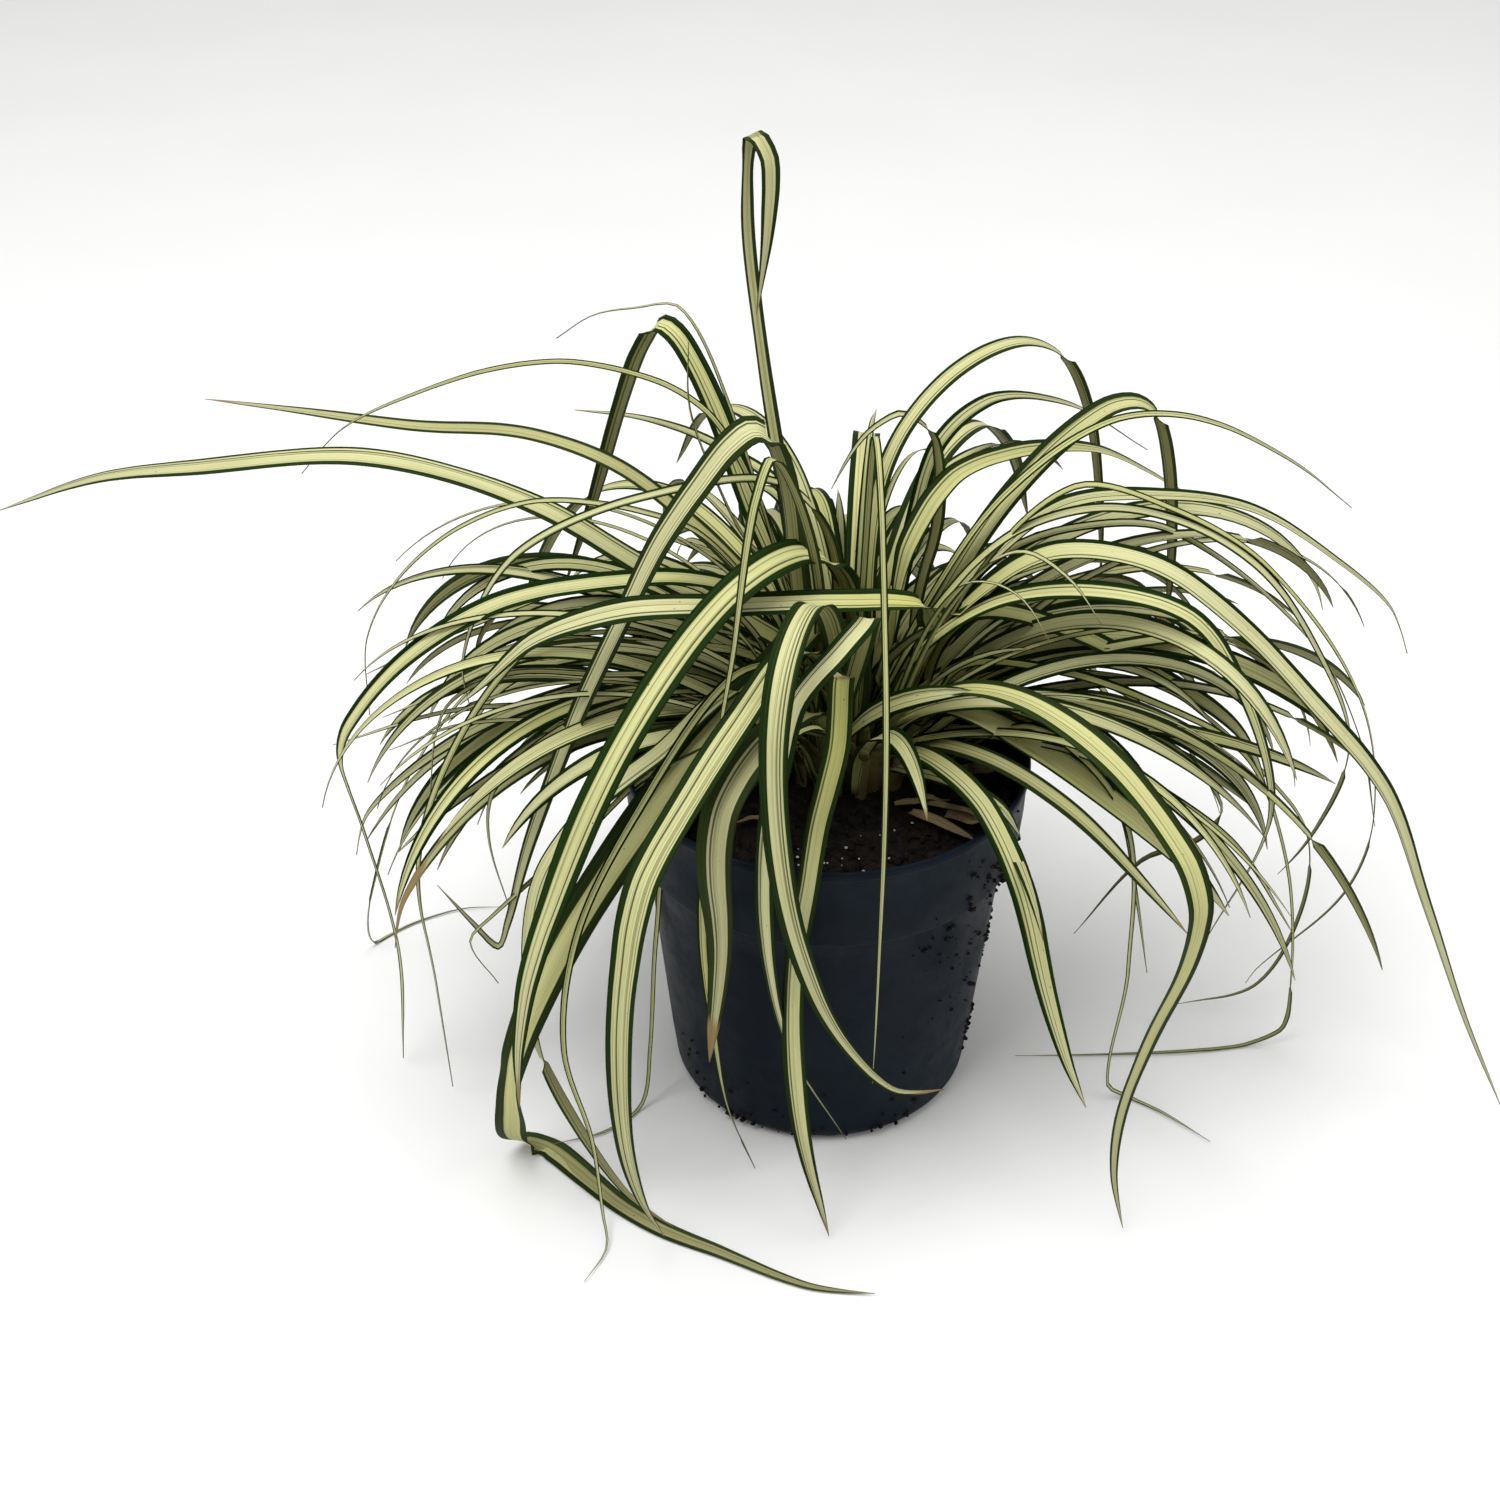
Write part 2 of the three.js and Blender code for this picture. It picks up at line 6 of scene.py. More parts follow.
import bpy
import numpy as np
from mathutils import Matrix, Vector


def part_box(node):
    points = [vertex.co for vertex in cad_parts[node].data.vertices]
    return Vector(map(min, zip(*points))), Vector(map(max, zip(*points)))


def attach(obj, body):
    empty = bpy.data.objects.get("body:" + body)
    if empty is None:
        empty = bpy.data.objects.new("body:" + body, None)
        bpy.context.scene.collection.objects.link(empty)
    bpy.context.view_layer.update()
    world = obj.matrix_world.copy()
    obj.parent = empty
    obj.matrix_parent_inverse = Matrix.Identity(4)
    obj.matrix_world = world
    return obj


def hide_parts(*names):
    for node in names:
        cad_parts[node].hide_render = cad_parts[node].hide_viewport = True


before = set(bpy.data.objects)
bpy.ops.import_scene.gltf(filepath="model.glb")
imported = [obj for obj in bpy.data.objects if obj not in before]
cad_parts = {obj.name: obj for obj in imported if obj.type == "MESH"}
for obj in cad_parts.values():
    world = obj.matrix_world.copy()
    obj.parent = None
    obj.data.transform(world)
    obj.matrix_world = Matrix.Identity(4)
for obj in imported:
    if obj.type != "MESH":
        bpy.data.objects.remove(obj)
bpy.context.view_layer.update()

MM = 0.001
UP = np.array([0.0, 0.0, 1.0])

# ---- places taken from the frame ------------------------------------------------------------
CROWN_LOW, CROWN_HIGH = (np.array(corner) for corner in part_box("crown"))
RIM_RADIUS, _, POT_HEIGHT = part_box("pot")[1]
SOIL_RADIUS, _, SOIL_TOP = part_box("soil")[1]
CROWN = (CROWN_LOW + CROWN_HIGH) / 2
CROWN_RADIUS = (CROWN_HIGH[0] - CROWN_LOW[0]) / 2


# ---- shader building ------------------------------------------------------------------------
class Shader:
    """A material whose nodes are added one call at a time."""

    def __init__(self, name):
        self.material = bpy.data.materials.new(name)
        self.material.use_nodes = True
        self.tree = self.material.node_tree
        self.tree.nodes.clear()
        self.output = self.tree.nodes.new("ShaderNodeOutputMaterial")
        self.surface = self.tree.nodes.new("ShaderNodeBsdfPrincipled")
        self.tree.links.new(self.surface.outputs["BSDF"], self.output.inputs["Surface"])

    def put(self, socket, value):
        if isinstance(value, bpy.types.NodeSocket):
            self.tree.links.new(value, socket)
        else:
            socket.default_value = value

    def set(self, **values):
        for name, value in values.items():
            self.put(self.surface.inputs[name.replace("_", " ")], value)

    def math(self, operation, first, second=0.0, third=0.0, clamp=False):
        node = self.tree.nodes.new("ShaderNodeMath")
        node.operation = operation
        node.use_clamp = clamp
        for socket, value in zip(node.inputs, (first, second, third)):
            self.put(socket, value)
        return node.outputs[0]

    def combine(self, x, y, z):
        node = self.tree.nodes.new("ShaderNodeCombineXYZ")
        for socket, value in zip(node.inputs, (x, y, z)):
            self.put(socket, value)
        return node.outputs[0]

    def attribute(self, name):
        node = self.tree.nodes.new("ShaderNodeAttribute")
        node.attribute_name = name
        split = self.tree.nodes.new("ShaderNodeSeparateXYZ")
        self.tree.links.new(node.outputs["Vector"], split.inputs[0])
        return split.outputs[:]

    def lengthwise(self, across, metres, across_scale, metres_scale, layer, detail):
        """Noise drawn out along a leaf; layers with other numbers don't repeat each other."""
        place = self.combine(self.math("MULTIPLY", across, across_scale),
                             self.math("MULTIPLY", metres, metres_scale), layer)
        return self.noise(place, detail=detail)

    def position(self):
        return self.tree.nodes.new("ShaderNodeTexCoord").outputs["Object"]

    def noise(self, vector, scale=1.0, detail=2.0, roughness=0.5):
        node = self.tree.nodes.new("ShaderNodeTexNoise")
        self.put(node.inputs["Vector"], vector)
        self.put(node.inputs["Scale"], scale)
        self.put(node.inputs["Detail"], detail)
        self.put(node.inputs["Roughness"], roughness)
        return node.outputs["Fac"]

    def ramp(self, value, low, high, to_low=0.0, to_high=1.0):
        node = self.tree.nodes.new("ShaderNodeMapRange")
        node.interpolation_type = "SMOOTHSTEP"
        for socket, item in zip(node.inputs, (value, low, high, to_low, to_high)):
            self.put(socket, item)
        return node.outputs[0]

    def mix(self, share, first, second):
        node = self.tree.nodes.new("ShaderNodeMix")
        node.data_type = "RGBA"
        self.put(node.inputs[0], share)
        self.put(node.inputs[6], first)
        self.put(node.inputs[7], second)
        return node.outputs[2]

    def bump(self, height, distance, strength=1.0):
        node = self.tree.nodes.new("ShaderNodeBump")
        self.put(node.inputs["Height"], height)
        self.put(node.inputs["Distance"], distance)
        self.put(node.inputs["Strength"], strength)
        self.tree.links.new(node.outputs["Normal"], self.surface.inputs["Normal"])


def rgb(red, green, blue):
    """A shader colour from 0 to 255 screen values."""
    linear = [((value / 255 + 0.055) / 1.055) ** 2.4 if value > 10 else value / 255 / 12.92
              for value in (red, green, blue)]
    return (*linear, 1.0)


# ---- leaf materials -------------------------------------------------------------------------
MARGIN_SOFTNESS = 0.045     # how far a green margin fades into the cream, across being -1 to 1


# Every leaf carries three attributes: blade (across -1 to 1, metres from the root, share of the
# length), bands (where the left and right green margins end, where the pinstripe runs) and tint
# (dullness, length of dry tip, a number of its own).
def leaf_material(name, underside):
    s = Shader(name)
    across, metres, share = s.attribute("blade")
    left, right, pin = s.attribute("bands")
    dull, dry, seed = s.attribute("tint")

    def along(across_scale, metres_scale, detail=2, offset=0.0):
        return s.lengthwise(across, metres, across_scale, metres_scale, s.math("ADD", seed, offset), detail)

    drift = along(1.2, 26.0, 2)
    edge = s.math("MULTIPLY_ADD", s.math("SUBTRACT", drift, 0.5), 0.14, across)
    in_left = s.math("DIVIDE", s.math("SUBTRACT", left, edge), MARGIN_SOFTNESS)
    in_right = s.math("DIVIDE", s.math("SUBTRACT", edge, right), MARGIN_SOFTNESS)
    margin = s.math("ADD", s.math("MAXIMUM", in_left, in_right), 0.5, clamp=True)
    stripe_away = s.math("ABSOLUTE", s.math("SUBTRACT", edge, pin))
    stripe = s.math("MULTIPLY", s.ramp(stripe_away, 0.085, 0.03), 0.85)
    streaks = s.ramp(along(8.0, 2.0, 2, 9.0), 0.59, 0.65, 0.0, 0.60)
    green_share = s.math("MAXIMUM", margin, s.math("MAXIMUM", stripe, streaks))

    veins = along(24.0, 3.5, 3, 4.0)
    patches = along(1.0, 22.0, 4, 2.0)
    hue = s.math("FRACT", s.math("MULTIPLY", seed, 7.13))
    if underside:
        young, grown, old = rgb(148, 150, 86), rgb(154, 153, 106), rgb(140, 137, 98)
        green_dark, green_light = rgb(30, 50, 20), rgb(56, 74, 34)
    else:
        young, grown, old = rgb(192, 193, 108), rgb(207, 207, 158), rgb(194, 193, 150)
        green_dark, green_light = rgb(6, 27, 1), rgb(24, 52, 8)
    grown = s.mix(s.math("MULTIPLY", hue, 0.6), grown, young)
    cream = s.mix(s.ramp(share, 0.05, 0.40), young, grown)
    cream = s.mix(s.ramp(share, 0.60, 1.0), cream, old)
    cream = s.mix(s.ramp(veins, 0.50, 0.66, 0.0, 0.60), cream, rgb(140, 138, 84))
    cream = s.mix(s.ramp(veins, 0.46, 0.32, 0.0, 0.45), cream, rgb(222, 217, 166))
    cream = s.mix(s.math("MULTIPLY", dull, 0.6), cream, rgb(142, 136, 96))
    cream = s.mix(s.ramp(patches, 0.42, 0.75, 0.0, 0.22), cream, rgb(134, 128, 84))
    green = s.mix(s.ramp(veins, 0.40, 0.68), green_dark, green_light)
    green = s.mix(s.math("MULTIPLY", dull, 0.25), green, rgb(110, 108, 70))
    colour = s.mix(green_share, cream, green)

    specks = along(5.0, 420.0, 1)
    colour = s.mix(s.ramp(specks, 0.775, 0.80, 0.0, 0.85), colour, rgb(64, 40, 22))
    dry_from = s.math("SUBTRACT", 1.0, dry)
    dry_edge = s.math("ADD", share, s.math("MULTIPLY", s.math("SUBTRACT", patches, 0.5), 0.06))
    dried = s.math("DIVIDE", s.math("SUBTRACT", dry_edge, dry_from), 0.02, clamp=True)
    withered = s.mix(veins, rgb(96, 68, 40), rgb(170, 150, 104))
    colour = s.mix(s.math("MULTIPLY", dried, 0.9), colour, withered)

    s.bump(along(16.0, 3.0, 2), 0.35 * MM, 0.6)
    s.set(Base_Color=colour, Roughness=s.ramp(patches, 0.3, 0.7, 0.50, 0.66), Specular_IOR_Level=0.05)
    return s.material


LEAF_UPPER = leaf_material("leaf_upper", underside=False)
LEAF_UNDER = leaf_material("leaf_under", underside=True)


# ---- other materials ------------------------------------------------------------------------
def pot_material():
    s = Shader("pot_plastic")
    place = s.position()
    cloud = s.noise(place, scale=18, detail=5, roughness=0.6)
    grain = s.noise(place, scale=420, detail=2)
    colour = s.mix(s.ramp(cloud, 0.32, 0.72), rgb(6, 16, 25), rgb(12, 24, 35))
    smear = s.noise(place, scale=55, detail=6, roughness=0.7)
    colour = s.mix(s.ramp(smear, 0.60, 0.82, 0.0, 0.30), colour, rgb(26, 28, 30))
    s.bump(s.math("MULTIPLY_ADD", cloud, 0.5, grain), 0.12 * MM, 0.5)
    s.set(Base_Color=colour, Roughness=s.ramp(smear, 0.35, 0.7, 0.42, 0.62), Specular_IOR_Level=0.08)
    return s.material


def soil_material():
    s = Shader("compost")
    place = s.position()
    lumps = s.noise(place, scale=160, detail=6, roughness=0.65)
    fibres = s.noise(place, scale=700, detail=3)
    colour = s.mix(s.ramp(lumps, 0.35, 0.70), rgb(11, 8, 7), rgb(34, 26, 20))
    colour = s.mix(s.ramp(fibres, 0.62, 0.75, 0.0, 0.6), colour, rgb(60, 46, 32))
    s.bump(s.math("MULTIPLY_ADD", fibres, 0.4, lumps), 1.2 * MM, 0.9)
    s.set(Base_Color=colour, Roughness=0.92, Specular_IOR_Level=0.2)
    return s.material


def perlite_material():
    s = Shader("perlite")
    pits = s.noise(s.position(), scale=900, detail=4)
    s.bump(pits, 0.3 * MM, 0.6)
    s.set(Base_Color=s.mix(pits, rgb(150, 146, 136), rgb(222, 219, 210)), Roughness=0.9)
    return s.material


def sheath_material():
    s = Shader("leaf_sheath")
    across, metres, share = s.attribute("blade")
    lines = s.lengthwise(across, metres, 18.0, 30.0, 0.0, detail=3)
    blotch = s.noise(s.position(), scale=120, detail=3)
    colour = s.mix(s.ramp(share, 0.1, 0.8), rgb(104, 88, 54), rgb(150, 146, 82))
    colour = s.mix(s.ramp(lines, 0.5, 0.72, 0.0, 0.8), colour, rgb(60, 74, 34))
    colour = s.mix(s.ramp(blotch, 0.48, 0.66, 0.0, 0.85), colour, rgb(58, 38, 24))
    s.bump(lines, 0.3 * MM, 0.6)
    s.set(Base_Color=colour, Roughness=0.6)
    return s.material


def dead_material():
    s = Shader("dead_leaf")
    across, metres, _ = s.attribute("blade")
    lines = s.lengthwise(across, metres, 14.0, 25.0, 3.0, detail=3)
    blotch = s.noise(s.position(), scale=90, detail=4)
    colour = s.mix(s.ramp(lines, 0.35, 0.70), rgb(112, 92, 58), rgb(176, 158, 112))
    colour = s.mix(s.ramp(blotch, 0.50, 0.68, 0.0, 0.8), colour, rgb(70, 48, 30))
    s.bump(lines, 0.4 * MM, 0.8)
    s.set(Base_Color=colour, Roughness=0.8)
    return s.material


def floor_material():
    s = Shader("pale_floor")
    cloud = s.noise(s.position(), scale=6, detail=3)
    s.set(Base_Color=s.mix(cloud, rgb(236, 236, 235), rgb(243, 243, 242)), Roughness=0.75)
    return s.material


POT_PLASTIC = pot_material()
COMPOST = soil_material()
PERLITE = perlite_material()
SHEATH = sheath_material()
DEAD_LEAF = dead_material()


# ---- mesh helpers ---------------------------------------------------------------------------
class Bundle:
    """Gathers the vertices and faces of one piece, with its leaf attributes."""

    def __init__(self):
        self.vertices, self.faces, self.looks = [], [], []
        self.blade, self.bands, self.tint = [], [], []

    def add(self, vertices, faces, looks=0, blade=None, bands=(-1.5, 1.5, 5.0), tint=(0.0, 0.0, 0.0)):
        start = len(self.vertices)
        self.vertices.extend(vertices)
        self.faces.extend([tuple(start + i for i in face) for face in faces])
        self.looks.extend([looks] * len(faces) if isinstance(looks, int) else looks)
        count = len(vertices)
        self.blade.extend(blade if blade is not None else [(0.0, 0.0, 0.0)] * count)
        self.bands.extend([bands] * count)
        self.tint.extend([tint] * count)

    def piece(self, name, materials, smooth=True):
        mesh = bpy.data.meshes.new(name)
        mesh.from_pydata([tuple(map(float, v)) for v in self.vertices], [], self.faces)
        for material in materials:
            mesh.materials.append(material)
        mesh.polygons.foreach_set("material_index", self.looks)
        mesh.polygons.foreach_set("use_smooth", [smooth] * len(self.faces))
        for label, values in (("blade", self.blade), ("bands", self.bands), ("tint", self.tint)):
            layer = mesh.attributes.new(label, "FLOAT_VECTOR", "POINT")
            layer.data.foreach_set("vector", np.array(values, dtype=np.float32).ravel())
        mesh.validate()
        made = bpy.data.objects.new(name, mesh)
        bpy.context.scene.collection.objects.link(made)
        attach(made, "root")
        return made


def on_circle(radius, angle, height, centre=(0.0, 0.0)):
    """Point at a radius and an angle in radians about an upright axis."""
    return centre[0] + radius * math.cos(angle), centre[1] + radius * math.sin(angle), height


def unit(vector):
    return vector / max(np.linalg.norm(vector), 1e-9)


# ---- reading a leaf's sections from its CAD solid -------------------------------------------
def leaf_sections(node):
    """Midrib points, half-width vectors and face directions from a CAD leaf, root to tip.

    The solid is a run of four-cornered sections that ends in one tip vertex, so the vertices
    that lie one, two, three edges from the tip are the last, last but one, ... section.
    """
    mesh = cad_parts[node].data
    corners = np.array([v.co[:] for v in mesh.vertices])
    places, index = np.unique(np.round(corners * 1e5).astype(int), axis=0, return_inverse=True)
    index = index.ravel()
    points = np.zeros((len(places), 3))
    points[index] = corners
    near = [set() for _ in points]
    for polygon in mesh.polygons:
        loop = [int(index[v]) for v in polygon.vertices]
        for a, b in zip(loop, loop[1:] + loop[:1]):
            near[a].add(b)
            near[b].add(a)

    def rings_from(tip):
        seen, rings, layer = {tip}, [], [tip]
        while layer:
            layer = sorted({b for a in layer for b in near[a]} - seen)
            seen.update(layer)
            if layer:
                rings.append(layer)
        return rings

    tips = [i for i in range(len(points)) if len(near[i]) == 4]
    tip = next(i for i in tips if all(len(ring) == 4 for ring in rings_from(i)))
    rings = [points[ring] for ring in reversed(rings_from(tip))]

    # Name the corners left, top, right, under on the widest section, then follow them both ways.
    def best_order(ring, model):
        moved = model + ring.mean(axis=0) - model.mean(axis=0)
        return ring[list(min(permutations(range(4)), key=lambda p: np.abs(ring[list(p)] - moved).sum()))]

    widths = [max(np.linalg.norm(a - b) for a in ring for b in ring) for ring in rings]
    first = int(np.argmax(widths))
    ring = rings[first]
    pairs = [((0, 1), (2, 3)), ((0, 2), (1, 3)), ((0, 3), (1, 2))]
    edges, middle = max(
        (pair if np.linalg.norm(ring[pair[0][0]] - ring[pair[0][1]])
         >= np.linalg.norm(ring[pair[1][0]] - ring[pair[1][1]]) else pair[::-1] for pair in pairs),
        key=lambda pair: np.linalg.norm(ring[pair[0][0]] - ring[pair[0][1]]))
    left, right = ring[edges[0]], ring[edges[1]]
    face = (left + right) / 2 - (ring[middle[0]] + ring[middle[1]]) / 2
    top, under = sorted((ring[middle[0]], ring[middle[1]]), key=lambda p: -np.dot(p, face))
    beside = rings[first + 1] if first + 1 < len(rings) else [points[tip]]
    along = np.mean(beside, axis=0) - ring.mean(axis=0)
    if np.dot(np.cross(along, left - right), top - under) < 0:
        left, right = right, left
    ordered = {first: np.array([left, top, right, under])}
    for i in range(first + 1, len(rings)):
        ordered[i] = best_order(rings[i], ordered[i - 1])
    for i in range(first - 1, -1, -1):
        ordered[i] = best_order(rings[i], ordered[i + 1])
    run = np.array([ordered[i] for i in range(len(rings))])
    centres = np.vstack([(run[:, 1] + run[:, 3]) / 2, points[tip]])
    halves = np.vstack([(run[:, 0] - run[:, 2]) / 2, np.zeros(3)])
    faces = run[:, 1] - run[:, 3]
    faces = np.vstack([faces, faces[-1]])
    return centres, halves, faces


# ---- growing a fine blade -------------------------------------------------------------------
def catmull_rom(places, values, stations):
    """Smooth curve through the values at the given places along it, read at the stations."""
    result = np.empty((len(stations), values.shape[1]))
    for k, at in enumerate(stations):
        i = int(np.clip(np.searchsorted(places, at, side="right") - 1, 0, len(places) - 2))
        p1, p2 = values[i], values[i + 1]
        d1, d2 = places[i], places[i + 1]
        d0 = places[i - 1] if i > 0 else d1 - (d2 - d1)
        p0 = values[i - 1] if i > 0 else p1 - (p2 - p1)
        d3 = places[i + 2] if i + 2 < len(places) else d2 + (d2 - d1)
        p3 = values[i + 2] if i + 2 < len(places) else p2 + (p2 - p1)
        span = d2 - d1
        m1 = (p2 - p0) / (d2 - d0) * span
        m2 = (p3 - p1) / (d3 - d1) * span
        t = (at - d1) / span
        result[k] = ((2 * t**3 - 3 * t**2 + 1) * p1 + (t**3 - 2 * t**2 + t) * m1
                     + (-2 * t**3 + 3 * t**2) * p2 + (t**3 - t**2) * m2)
    return result


# The blades of this plant turn their faces a little towards the front and the light.
TOWARD_FRONT = np.array([0.0, -0.84, 0.54])
OPENS_BY = 0.22            # share of the length by which a blade reaches its full width
ROOT_WIDTH = 0.66          # width at the root, as a share of the widest
USUAL_TAPER = 5            # a higher power keeps a blade wide until nearer its tip


def blade_profile(share, style):
    """Half-width along a blade as a share of the widest: full early, tapering late."""
    opening = min(share / OPENS_BY, 1.0)
    opening = ROOT_WIDTH + (1 - ROOT_WIDTH) * opening * opening * (3 - 2 * opening)
    if style.get("from_crease"):
        opening = 1.0
    taper = max(1 - share ** style.get("taper", USUAL_TAPER), 0.0) ** 0.85
    return opening * (1.0 if style.get("to_crease") else taper)


BEND_ROOM = 0.75           # half-width a blade may have, as a share of the radius of its bend
NEIGHBOURS = 4             # stations to each side over which a narrowing is spread


def bend_limits(mids, sides):
    """Widest half-width at each station that a bend within the blade's own plane leaves room for."""
    along = np.gradient(mids, axis=0)
    steps = np.maximum(np.linalg.norm(along, axis=1), 1e-9)
    along /= steps[:, None]
    curving = np.abs((np.gradient(along, axis=0) / steps[:, None] * sides).sum(axis=1))
    limits = BEND_ROOM / np.maximum(curving, 1.0)
    for spread in (np.min, np.mean):
        padded = np.pad(limits, NEIGHBOURS, mode="edge")
        limits = np.array([spread(padded[i:i + 2 * NEIGHBOURS + 1]) for i in range(len(limits))])
    return limits


ACROSS = np.array([-1.0, -0.86, -0.62, -0.32, 0.0, 0.32, 0.62, 0.86, 1.0])
PLAIN_ACROSS = ACROSS[::2]  # the places across a blade of the undergrowth and the slender leaves
FINE_STEP = 2.6 * MM
LYING_TOP = 0.75 * MM      # heights of a blade's two faces where it lies on the ground
LYING_UNDER = 0.3 * MM
EDGE_WAVES = ((0.035, 21 * MM), (0.025, 8.5 * MM))   # share of the half-width, run per radian
WOBBLE, WOBBLE_RUN = 0.07, 34 * MM                   # roll to and fro in radians, run per radian
USUAL_FACING = 0.4         # how strongly a blade turns to TOWARD_FRONT
TURNED_BY = 0.15           # share of the length by which it has turned
CHANNEL_ROOT = 0.36        # rise of the edges over the midrib as a share of the half-width,
CHANNEL_LOSS = 0.22        # the part of it that is lost by the share CHANNEL_OPEN of the length
CHANNEL_OPEN = 0.3
TIP_THICKNESS = 0.17 * MM  # from the middle plane to one face, at the tip; the root adds more
ROOT_THICKENING = 0.10 * MM
EDGE_THINNING = 0.7        # share of the thickness that is lost at the edges


def add_blade(bundle, centres, halves, faces, style, rng, step=FINE_STEP, across=ACROSS):
    """Adds one closed, thin, channelled blade that follows the given sections."""
    gaps = np.linalg.norm(np.diff(centres, axis=0), axis=1)
    travelled = np.concatenate([[0], np.cumsum(np.maximum(gaps, 1e-6))])
    length = travelled[-1]
    count = max(int(length / step), 12)
    stations = np.linspace(0, length, count + 1)
    widest = style.get("widest") or np.linalg.norm(halves, axis=1).max() * style.get("wider", 1.0)
    headings = np.array([unit(h) for h in halves])
    if np.linalg.norm(halves[-1]) < 1e-6:
        headings[-1] = headings[-2]
    mids = catmull_rom(travelled, centres, stations)
    sides = catmull_rom(travelled, headings, stations)
    normals = catmull_rom(travelled, np.array([unit(f) for f in faces]), stations)

    limits = bend_limits(mids, sides)
    *edge_starts, wobble_start = [rng.uniform(0, 6.28) for _ in range(3)]
    vertices, blade = [], []
    columns = len(across)
    for i, at in enumerate(stations):
        share = at / length
        side = unit(sides[i])
        half = min(widest * blade_profile(share, style), limits[i])
        half *= 1 + sum(height * math.sin(at / run + start)
                        for (height, run), start in zip(EDGE_WAVES, edge_starts))
        half = max(half, 0.08 * MM)
        along = unit(mids[min(i + 1, count)] - mids[max(i - 1, 0)])
        turned = np.cross(along, TOWARD_FRONT)
        turned *= math.copysign(1.0, np.dot(turned, side))
        side = unit(side + style.get("facing", USUAL_FACING) * min(share / TURNED_BY, 1.0) * turned)
        normal = unit(np.cross(along, side))
        if np.dot(normal, normals[i]) < 0:
            normal = -normal
        wobble = WOBBLE * math.sin(at / WOBBLE_RUN + wobble_start)
        side_now = side * math.cos(wobble) + normal * math.sin(wobble)
        normal = normal * math.cos(wobble) - side * math.sin(wobble)
        channel = CHANNEL_ROOT - CHANNEL_LOSS * min(share / CHANNEL_OPEN, 1.0)
        thick = (TIP_THICKNESS + ROOT_THICKENING * (1 - share)) * (1 - EDGE_THINNING * across * across)
        lift = half * channel * np.abs(across) ** 1.25
        upper = [mids[i] + side_now * half * a + normal * rise for a, rise in zip(across, lift + thick)]
        lower = [mids[i] + side_now * half * a + normal * rise
                 for a, rise in zip(across[1:-1], (lift - thick)[1:-1])]
        for point in upper:
            point[2] = max(point[2], LYING_TOP)
        for point in lower:
            point[2] = max(point[2], LYING_UNDER)
        vertices += upper + lower[::-1]
        for a in list(across) + list(across[1:-1][::-1]):
            blade.append((a, at, share))
    around = 2 * columns - 2
    quads, looks = [], []
    for i in range(count):
        for k in range(around):
            a, b = i * around + k, i * around + (k + 1) % around
            quads.append((a, b, b + around, a + around))
            looks.append(0 if k < columns - 1 else 1)
    quads.append(tuple(range(around))[::-1])
    quads.append(tuple(count * around + k for k in range(around)))
    looks += [0, 0]
    bundle.add(vertices, quads, looks, blade, style["bands"], style["tint"])


THREAD_WIDTH = 4 * MM       # a leaf narrower than this has plain even margins
THREAD_MARGIN = 0.55
NO_PINSTRIPE = 5.0          # a place off the blade
NARROW_LEFT_CHANCE = 0.2    # of a left margin that is only a thin line


def leaf_style(rng, width, dull=None, dry=None):
    """Margins, pinstripe and tint of one leaf."""
    left = -1 + 2 * rng.uniform(0.17, 0.29)
    right = 1 - 2 * rng.uniform(0.15, 0.27)
    if rng.random() < NARROW_LEFT_CHANCE:
        left = -1 + 2 * rng.uniform(0.08, 0.12)
    pin = rng.choice([left + rng.uniform(0.16, 0.30), right - rng.uniform(0.16, 0.30),
                      rng.uniform(-0.3, 0.3), NO_PINSTRIPE])
    if width < THREAD_WIDTH:
        left, right = -THREAD_MARGIN, THREAD_MARGIN
    dull = rng.uniform(0.0, 0.35) if dull is None else dull
    dry = rng.choice([0.0, 0.01, 0.02, 0.04]) if dry is None else dry
    return {"bands": (left, right, pin), "tint": (dull, dry, rng.uniform(0, 50))}


LEAF_NODES = [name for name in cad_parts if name.startswith("leaf_")]
# Leaves that are duller or more withered than the rest: (dullness, share of dry tip).
WORN_LEAVES = {
    "leaf_front_dull": (0.55, 0.08),
    "leaf_left_withered": (0.9, 0.45),
    "leaf_front_right_brown": (0.35, 0.05),
    "leaf_left_low_brown": (0.6, 0.2),
    "leaf_left_low": (0.5, 0.03),
    "leaf_right_low": (0.6, 0.03),
    "leaf_left_back_long": (0.5, 0.06),
    "leaf_front_right_short": (0.3, 0.02),
}
# How much wider a fine blade is than its plain solid, where that isn't the usual share.
WIDER_LEAVES = {"leaf_front_left_wide": 1.45, "leaf_crossing": 1.1, "leaf_front_left_arch": 1.45,
                "leaf_front_left_fold": 1.3, "leaf_spire": 1.35, "leaf_front_right_broad": 1.3,
                "leaf_right_trailing": 0.8}
USUAL_WIDER = 1.22
# Leaves folded over sharply: the coordinate that is greatest at the crease, and the stalk's width.
CREASED_LEAVES = {"leaf_crossing": (0, 0.6), "leaf_front_crease": (2, 0.8)}
STALK_BOW = np.array([-12.0, 10.0, 0.0]) * MM
TAPERS = {"leaf_front_left_fold": 2.2, "leaf_left_drop": 3, "leaf_right_trailing": 1.6,
          "leaf_front_left_wide": 2.6}
ROOT_DEPTH = 3 * MM         # how far blades go into the compost
ROOT_PULL = 0.3             # how far their roots lean in towards the crown's axis


def with_root(centres, halves, faces):
    """The same leaf, carried down through the crown into the compost."""
    root = centres[0] - ROOT_PULL * (centres[0] - CROWN) * np.array([1, 1, 0])
    root[2] = SOIL_TOP - ROOT_DEPTH
    return np.vstack([root, centres]), np.vstack([halves[0], halves]), np.vstack([faces[0], faces])


